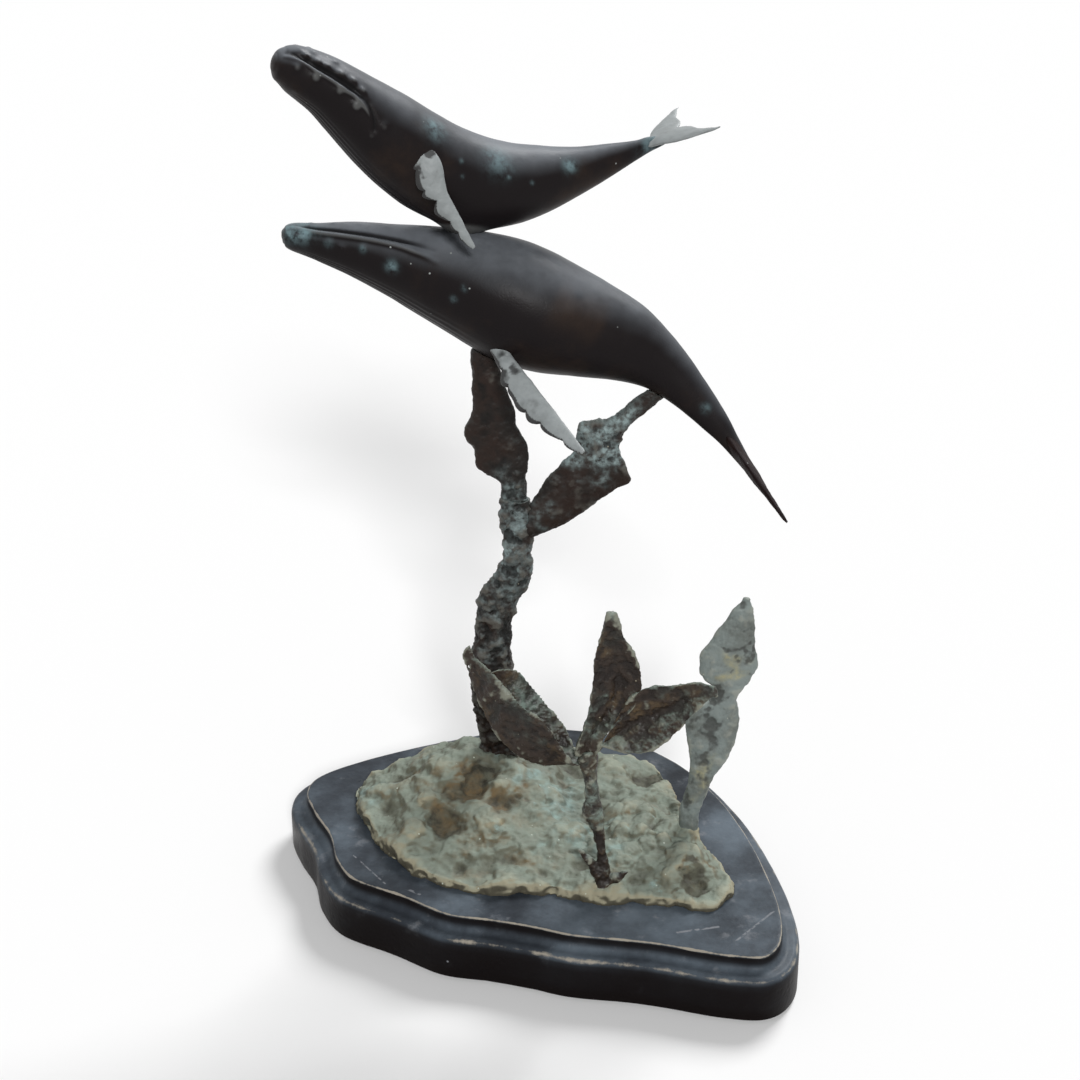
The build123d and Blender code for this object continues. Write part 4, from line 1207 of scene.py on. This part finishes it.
PLANTS = (
    Casting("front_stem", LEAF_BRONZE, 0.4, (
        Work(Tooling.SWELL, 4.0, 0.6), Work(Tooling.SWELL, 2.0, 0.3),
    ), spots=(
        Spot((20.0, -38.0, 88.0), 9.0, bloom=1.0), Spot((20.0, -38.0, 74.0), 6.0, bloom=0.6),
        # The shade at the stem's foot is a painted shadow where it meets the rock.
        Spot((26.0, -42.0, 50.0), 12.0, bloom=-0.3, shade=-1.2), Spot((23.0, -39.0, 100.0), 7.0, shade=-0.5),
    )),
    leaf(
        "front_left_leaf",
        Spot((-7.0, -23.0, 128.0), 8.0, bloom=1.0), Spot((0.0, -26.0, 119.0), 7.0, bloom=0.9),
        Spot((-13.0, -38.0, 128.0), 3.0, bloom=0.8), Spot((-22.0, -34.0, 136.0), 3.0, bloom=0.5),
    ),
    leaf(
        "front_upright_leaf",
        Spot((30.0, -38.0, 171.0), 8.0, bloom=0.7), Spot((25.0, -37.0, 119.0), 9.0, bloom=1.0),
        Spot((28.6, -38.0, 173.2), 1.9, shift=(1.3, 0.0, -0.8)),
        Spot((32.4, -38.0, 173.2), 1.9, shift=(-1.3, 0.0, -0.8)),
        Spot((33.0, -38.0, 130.0), 7.0, bloom=-1.0), Spot((33.0, -36.0, 146.0), 10.0, shade=-0.4),
    ),
    leaf(
        "front_right_leaf",
        Spot((60.0, -42.0, 132.0), 11.0, bloom=0.7), Spot((43.0, -43.0, 110.0), 8.0, bloom=0.9),
        Spot((38.0, -40.0, 118.0), 9.0, bloom=-1.0), Spot((50.0, -43.0, 126.0), 8.0, bloom=-0.8),
    ),
    Casting("side_plant", PALE_LEAF_BRONZE, 0.45, (
        Work(Tooling.SWELL, 9.0, 0.7), Work(Tooling.SWELL, 3.0, 0.3),
    ), shading=1.2, swell=0.3, spots=(
        Spot((86.7, -1.0, 124.3), 5.0, bloom=0.9), Spot((75.5, -2.0, 66.0), 4.0, bloom=0.9),
        Spot((78.0, -2.0, 74.0), 3.0, bloom=0.7), Spot((92.0, 0.0, 133.0), 5.0, shade=-0.8),
        Spot((76.0, -1.0, 112.0), 5.0, shade=-0.6), Spot((80.0, 0.0, 104.0), 6.0, shade=-0.5),
    )),
)
MOTHER_NOTCHES, CALF_NOTCHES = Scallops(6, 3.0), Scallops(6, 2.6)
FINS = (
    fin(
        "mother_left_flipper", 0.4, MOTHER_NOTCHES,
        Spot((-19.0, 31.2, 264.5), 7.0, shade=-0.9, shift=(0.0, 1.5, 1.0)),
    ),
    fin("mother_right_flipper", 0.4, MOTHER_NOTCHES),
    fin(
        "calf_left_flipper", 0.36, CALF_NOTCHES,
        Spot((-50.5, 28.0, 346.5), 6.0, shade=-0.5, shift=(0.2, 1.2, 0.0)),
        Spot((-46.0, 28.0, 354.5), 5.5, shade=-1.4, shift=(0.0, 1.0, -2.0)),
    ),
    fin(
        "calf_right_flipper", 0.36, CALF_NOTCHES,
        Spot((-59.7, 66.0, 344.0), 6.0, shade=-0.5, shift=(0.2, -1.2, 0.0)),
    ),
    fin("mother_flukes", 0.45, None, finish=FLUKE_BRONZE),
    fin("calf_flukes", 0.36, None),
)
SEABED = Casting(
    "seabed_rock", ROCK_BRONZE, 0.8,
    (
        Work(Tooling.SWELL, 12.0, 2.2, 4.0), Work(Tooling.CRAG, 16.0, 1.0), Work(Tooling.SWELL, 4.2, 0.5),
        Work(Tooling.PIT, 11.0, 1.2, 7.0), Work(Tooling.LUMP, 9.0, 2.2, 1.0, (48.0, 5.0, 36.0), 34.0),
    ),
    spots=(
        # The shade in the two deep holes is painted shade inside them.
        Spot((50.0, 45.0, 38.0), 6.0, -3.0, shade=-2.6), Spot((69.0, -34.0, 34.0), 6.0, -2.6, shade=-2.4),
        Spot((-24.0, 35.0, 48.0), 13.0, -2.2, shade=-0.8), Spot((-34.0, 20.0, 44.0), 12.0, -1.2, shade=-0.45),
        Spot((-36.0, 53.0, 49.0), 11.0, 2.2), Spot((-10.0, 24.0, 46.0), 9.0, 2.0),
        Spot((-58.0, 30.0, 42.0), 9.0, 1.6), Spot((2.0, 6.0, 43.0), 8.0, 1.6),
        Spot((-20.0, -12.0, 40.0), 8.0, 1.4), Spot((-60.0, -6.0, 37.0), 6.0, 1.2),
        Spot((-18.0, 18.0, 44.0), 16.0, bloom=-1.0), Spot((-10.0, 4.0, 42.0), 10.0, bloom=-0.9),
        Spot((-40.0, 12.0, 41.0), 13.0, bloom=-0.9), Spot((-46.0, 2.0, 38.0), 11.0, -0.6, shade=-0.4),
        Spot((-36.0, 50.0, 48.0), 10.0, shade=-0.5), Spot((-16.0, 26.0, 46.0), 6.0, 0.8, shade=0.5),
        Spot((-54.0, 15.0, 42.0), 5.0, shade=0.8), Spot((-23.0, -6.0, 43.0), 7.0, shade=0.6),
        Spot((-60.0, -6.0, 37.0), 4.0, shade=1.0), Spot((7.0, 20.0, 45.0), 13.0, bloom=1.0, shade=0.3),
        Spot((15.0, -3.0, 41.0), 11.0, bloom=1.0, shade=0.3), Spot((52.0, 2.0, 38.0), 22.0, shade=0.35),
        Spot((-80.0, 28.0, 36.0), 8.0, bloom=0.8),
        Spot((25.0, -20.0, 38.0), 9.0, bloom=0.8), Spot((2.0, 34.0, 48.0), 8.0, bloom=0.7),
    ),
    # Rounds and shading darken the hollows between the lumps and pale their crests: painted shade and painted
    # highlight.
    smoothing=2, contrast=1.5, rounds=240, shading=0.5, tone=-0.05,
)


@dataclass(frozen=True)
class Plinth:
    """The moulded plinth and the felt under it, as rings round one wavy outline; sizes in millimetres."""

    outline: tuple[Span, ...] = (
        (-121, 45), (-115, 25), (-106, 6), (-101, -14), (-90, -32), (-66, -46), (-44, -60), (-22, -65),
        (-4, -70), (14, -76), (46, -81), (80, -90), (100, -90), (112, -74), (114, -44), (107, 0),
        (94, 42), (73, 78), (38, 106), (-6, 112), (-50, 100), (-90, 82), (-115, 64),
    )
    felt_thickness: float = 1.5
    felt_inset: float = 6.0
    wall_height: float = 21.0
    step_height: float = 7.0
    step_inset: float = 8.0
    bead_radius: float = 3.0
    cove_radius: float = 3.5
    arris_radius: float = 1.0
    segments: int = 460
    wall_rings: Span = (0.3, 0.7)
    riser_drop: float = 1.6
    top_rings: Span = (1.8, 5.0)
    foot_wear: float = 0.35
    riser_wear: float = 0.1
    # The pale wear on the bead also stands in for its highlight: partly a painted highlight.
    bead_wear: tuple[float, ...] = (0.10, 0.40, 0.54, 0.42, 0.16)
    arris_wear: tuple[float, ...] = (0.36, 0.58, 0.70, 0.58, 0.40)
    wander_spacing: float = 14.0
    wander_noise: Octaves = (1.0, 2.2, 4)
    nick_spacing: float = 5.0
    nick_depth: float = 0.5
    nick_level: float = 0.35
    nick_wear: float = 0.4
    wood_tremble: float = 0.16
    felt_tremble: float = 0.25
    felt_edge: tuple[Span, ...] = ((0.5, 0.0), (0.1, 0.3), (0.0, 0.8))
    felt_top_inset: float = 0.2

    def edge_line(self) -> tuple[np.ndarray, np.ndarray]:
        """Return the outline's points and the directions inwards from them."""
        closed = [self.outline[-1], *self.outline, self.outline[0], self.outline[1]]
        shares = 1 + np.linspace(0, len(self.outline), self.segments, endpoint=False)
        points = between(closed, shares)
        way = np.roll(points, -1, axis=0) - np.roll(points, 1, axis=0)
        way /= np.linalg.norm(way, axis=1)[:, None]
        return points, np.stack((-way[:, 1], way[:, 0]), axis=1)

    def arc(
        self, inset: float, level: float, radius: float, turn: Span, wear: Sequence[float]
    ) -> list[Place]:
        """Return a rounded corner of the moulding.

        Args:
            inset: how far inside the outline its centre lies.
            level: how high its centre lies.
            radius: its radius.
            turn: its first and last angles, in degrees.
            wear: how worn each of its points is.
        Returns:
            Its points, as (inset, level, wear).
        """
        angles = np.radians(np.linspace(*turn, len(wear)))
        return [
            (inset + radius * math.cos(angle), level + radius * math.sin(angle), worn)
            for angle, worn in zip(angles, wear)
        ]

    def moulding(self) -> list[Place]:
        """Return the moulding's section as (inset, level, wear) from the foot to the top."""
        foot = self.felt_thickness
        shoulder = foot + self.wall_height
        top = shoulder + self.step_height
        arris, bead, cove, step = self.arris_radius, self.bead_radius, self.cove_radius, self.step_inset
        steps = len(self.bead_wear)
        return [
            *self.arc(arris, foot + arris, arris, (270, 180), [self.foot_wear] * steps),
            *((0.0, foot + share * self.wall_height, 0.0) for share in self.wall_rings),
            *self.arc(bead, shoulder - bead, bead, (180, 90), self.bead_wear),
            *self.arc(step - cove, shoulder + cove, cove, (270, 360), [0.0] * steps),
            (step, top - self.riser_drop * arris, self.riser_wear),
            *self.arc(step + arris, top - arris, arris, (180, 90), self.arris_wear),
            *((step + run, top, 0.0) for run in self.top_rings),
        ]

    def rings(self, name: str, section: Sequence[Place], tremble: float) -> bpy.types.Mesh:
        """Extrude rings round the outline, one from the other.

        Args:
            name: the mesh's name.
            section: each ring's inset, level and wear.
            tremble: how far the hand-cut edges wander.
        Returns:
            The closed mesh, with its wear stored.
        """
        points, inward = self.edge_line()
        form = bmesh.new()
        hoop = bmesh.ops.create_circle(form, cap_ends=True, radius=1.0, segments=self.segments)["verts"]
        worn = []
        for number, (inset, level, wear) in enumerate(section):
            if number > 0:
                hoop = self.raised_hoop(form, hoop)
            for vert, point, way in zip(hoop, points, inward):
                at = Vector((point[0], point[1], level))
                wander = tremble * noise.fractal(at / self.wander_spacing, *self.wander_noise)
                if wear > self.nick_wear:
                    nick = noise.noise(at / self.nick_spacing) - self.nick_level
                    wander += self.nick_depth * max(0.0, nick)
                vert.co = Vector((*(point + way * (inset + wander)), level)) * MM
            worn += [wear] * self.segments
        bmesh.ops.contextual_create(form, geom=hoop)
        bmesh.ops.poke(form, faces=[face for face in form.faces if len(face.verts) == self.segments])
        worn += [0.0] * (len(form.verts) - len(worn))
        bmesh.ops.recalc_face_normals(form, faces=form.faces)
        mesh = as_mesh(form, name)
        store(mesh, EDGE, np.array(worn))
        return mesh

    def raised_hoop(
        self, form: bmesh.types.BMesh, hoop: list[bmesh.types.BMVert]
    ) -> list[bmesh.types.BMVert]:
        """Extrude the open edge of a ring.

        Args:
            form: the mesh.
            hoop: the ring's vertices in order.
        Returns:
            The new ring's vertices in the same order.
        """
        edges = [list(vert.link_edges) for vert in hoop]
        rim = [edge for around in edges for edge in around if len(edge.link_faces) == 1]
        bmesh.ops.extrude_edge_only(form, edges=list(dict.fromkeys(rim)))
        return [
            next(edge.other_vert(vert) for edge in vert.link_edges if edge not in around)
            for vert, around in zip(hoop, edges)
        ]

    def build(self, paint: bpy.types.Material, felt: bpy.types.Material) -> list[bpy.types.Object]:
        """Return the plinth and its felt."""
        block = self.rings("wood_plinth_block", self.moulding(), self.wood_tremble)
        section = (*self.felt_edge, (self.felt_top_inset, self.felt_thickness))
        edge = [(self.felt_inset + inset, level, 0.0) for inset, level in section]
        pad = self.rings("felt_pad_cut", edge, self.felt_tremble)
        return [
            finish_piece("wood_plinth_block", block, paint, "wood_plinth"),
            finish_piece("felt_pad_cut", pad, felt, "felt_pad"),
        ]


@dataclass(frozen=True)
class Lamp:
    """A soft, far studio lamp: the way to it, how wide it looks in degrees, and its strength."""

    name: str
    way: Place
    width: float
    strength: float

    def build(self) -> None:
        """Hang the lamp."""
        data = bpy.data.lights.new(self.name, "SUN")
        data.angle = math.radians(self.width)
        data.energy = self.strength
        lamp = add_object(self.name, data)
        lamp.rotation_euler = Vector(self.way).to_track_quat("Z", "Y").to_euler()


@dataclass(frozen=True)
class Studio:
    """The floor, the lamps and the camera at the photograph's viewing angle."""

    lamps: tuple[Lamp, ...] = (
        Lamp("front_right", (0.13, -0.84, 0.53), 10.0, 2.0),
        Lamp("overhead", (0.38, 0.62, 0.69), 22.0, 2.5),
    )
    world_level: float = 0.25
    floor_half: float = 9.0
    floor_glow: float = 0.09
    floor_colour: Colour = (0.8, 0.8, 0.8)
    camera_place: Place = (0.0, -0.786, 0.571)
    camera_pitch: float = 64.0
    lens: float = 67.63
    sensor: float = 36.0
    clip_start: float = 0.01

    def seen(self, graph: Graph) -> bpy.types.NodeSocket:
        """Return 1 for rays from the camera and for those that mirrors and glass send on."""
        path = graph.add("ShaderNodeLightPath")
        share = graph.either(path.outputs["Is Camera Ray"], path.outputs["Is Glossy Ray"])
        return graph.either(share, path.outputs["Is Transmission Ray"])

    def floor(self) -> None:
        """Lay a pale floor that shows white and keeps the shadow."""
        form = bmesh.new()
        bmesh.ops.create_grid(form, x_segments=2, y_segments=2, size=self.floor_half)
        mesh = as_mesh(form, "floor")
        material = bpy.data.materials.new("floor")
        material.use_nodes = True
        graph = Graph(material.node_tree)
        matt = graph.add("ShaderNodeBsdfDiffuse", None, {"Color": self.floor_colour})
        level = graph.math("MULTIPLY", self.seen(graph), self.floor_glow)
        glow = graph.add("ShaderNodeEmission", None, {"Color": (1.0, 1.0, 1.0), "Strength": level})
        both = graph.add("ShaderNodeAddShader", None, {0: matt.outputs[0], 1: glow.outputs[0]})
        out = graph.add("ShaderNodeOutputMaterial")
        graph.feed(out.inputs["Surface"], both.outputs[0])
        mesh.materials.append(material)
        floor = add_object("floor", mesh)

    def world(self) -> None:
        """Light the scene evenly from all round, and show white behind it."""
        world = bpy.data.worlds.new("studio")
        bpy.context.scene.world = world
        world.use_nodes = True
        graph = Graph(world.node_tree)
        level = graph.span(self.seen(graph), 0.0, 1.0, self.world_level, 1.0)
        sky = graph.add("ShaderNodeBackground", None, {"Color": (1.0, 1.0, 1.0), "Strength": level})
        out = graph.add("ShaderNodeOutputWorld")
        graph.feed(out.inputs["Surface"], sky.outputs[0])

    def camera(self) -> None:
        """Stand the camera where the photograph was taken from."""
        data = bpy.data.cameras.new("camera")
        data.lens = self.lens
        data.sensor_width = self.sensor
        data.clip_start = self.clip_start
        camera = add_object("camera", data)
        camera.location = self.camera_place
        camera.rotation_euler = (math.radians(self.camera_pitch), 0.0, 0.0)
        bpy.context.scene.camera = camera

    def build(self) -> None:
        """Set up the whole studio."""
        bpy.context.scene.view_settings.view_transform = "Standard"
        self.floor()
        self.world()
        for lamp in self.lamps:
            lamp.build()
        self.camera()


def dress_hidden(
    nodes: dict[str, bpy.types.Object], names: Sequence[str], material: bpy.types.Material
) -> None:
    """Give CAD nodes that stay as they are a material."""
    for name in names:
        nodes[name].data.materials.clear()
        nodes[name].data.materials.append(material)
        LOG.info("%s: kept, %s", name, material.name)


def main() -> None:
    """Load the part, build the studio and dress every piece."""
    logging.basicConfig(level=logging.INFO, format="%(message)s")
    noise.seed_set(STAIN_SEED)
    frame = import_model()
    nodes = frame["nodes"]
    Studio().build()
    kit = NodeKit()
    castings = (*KELP, *PLANTS, *FINS, SEABED)
    finishes = {piece.finish.name: piece.finish for piece in (MOTHER, CALF, *castings)}
    materials = {name: finish.material(kit) for name, finish in finishes.items()}
    for whale in (MOTHER, CALF):
        whale.build(materials[whale.finish.name])
    for casting in castings:
        casting.build(nodes, materials[casting.finish.name])
    Plinth().build(PLINTH_PAINT.material(kit), FELT.material(kit))
    dress_hidden(nodes, ("base_screws", "base_washers"), STEEL.material(kit))
    pins = ("root_dowels", "fork_dowels", "seat_dowels", "flipper_dowels")
    dress_hidden(nodes, pins, PIN_BRONZE.material(kit))


if __name__ == "__main__":
    main()
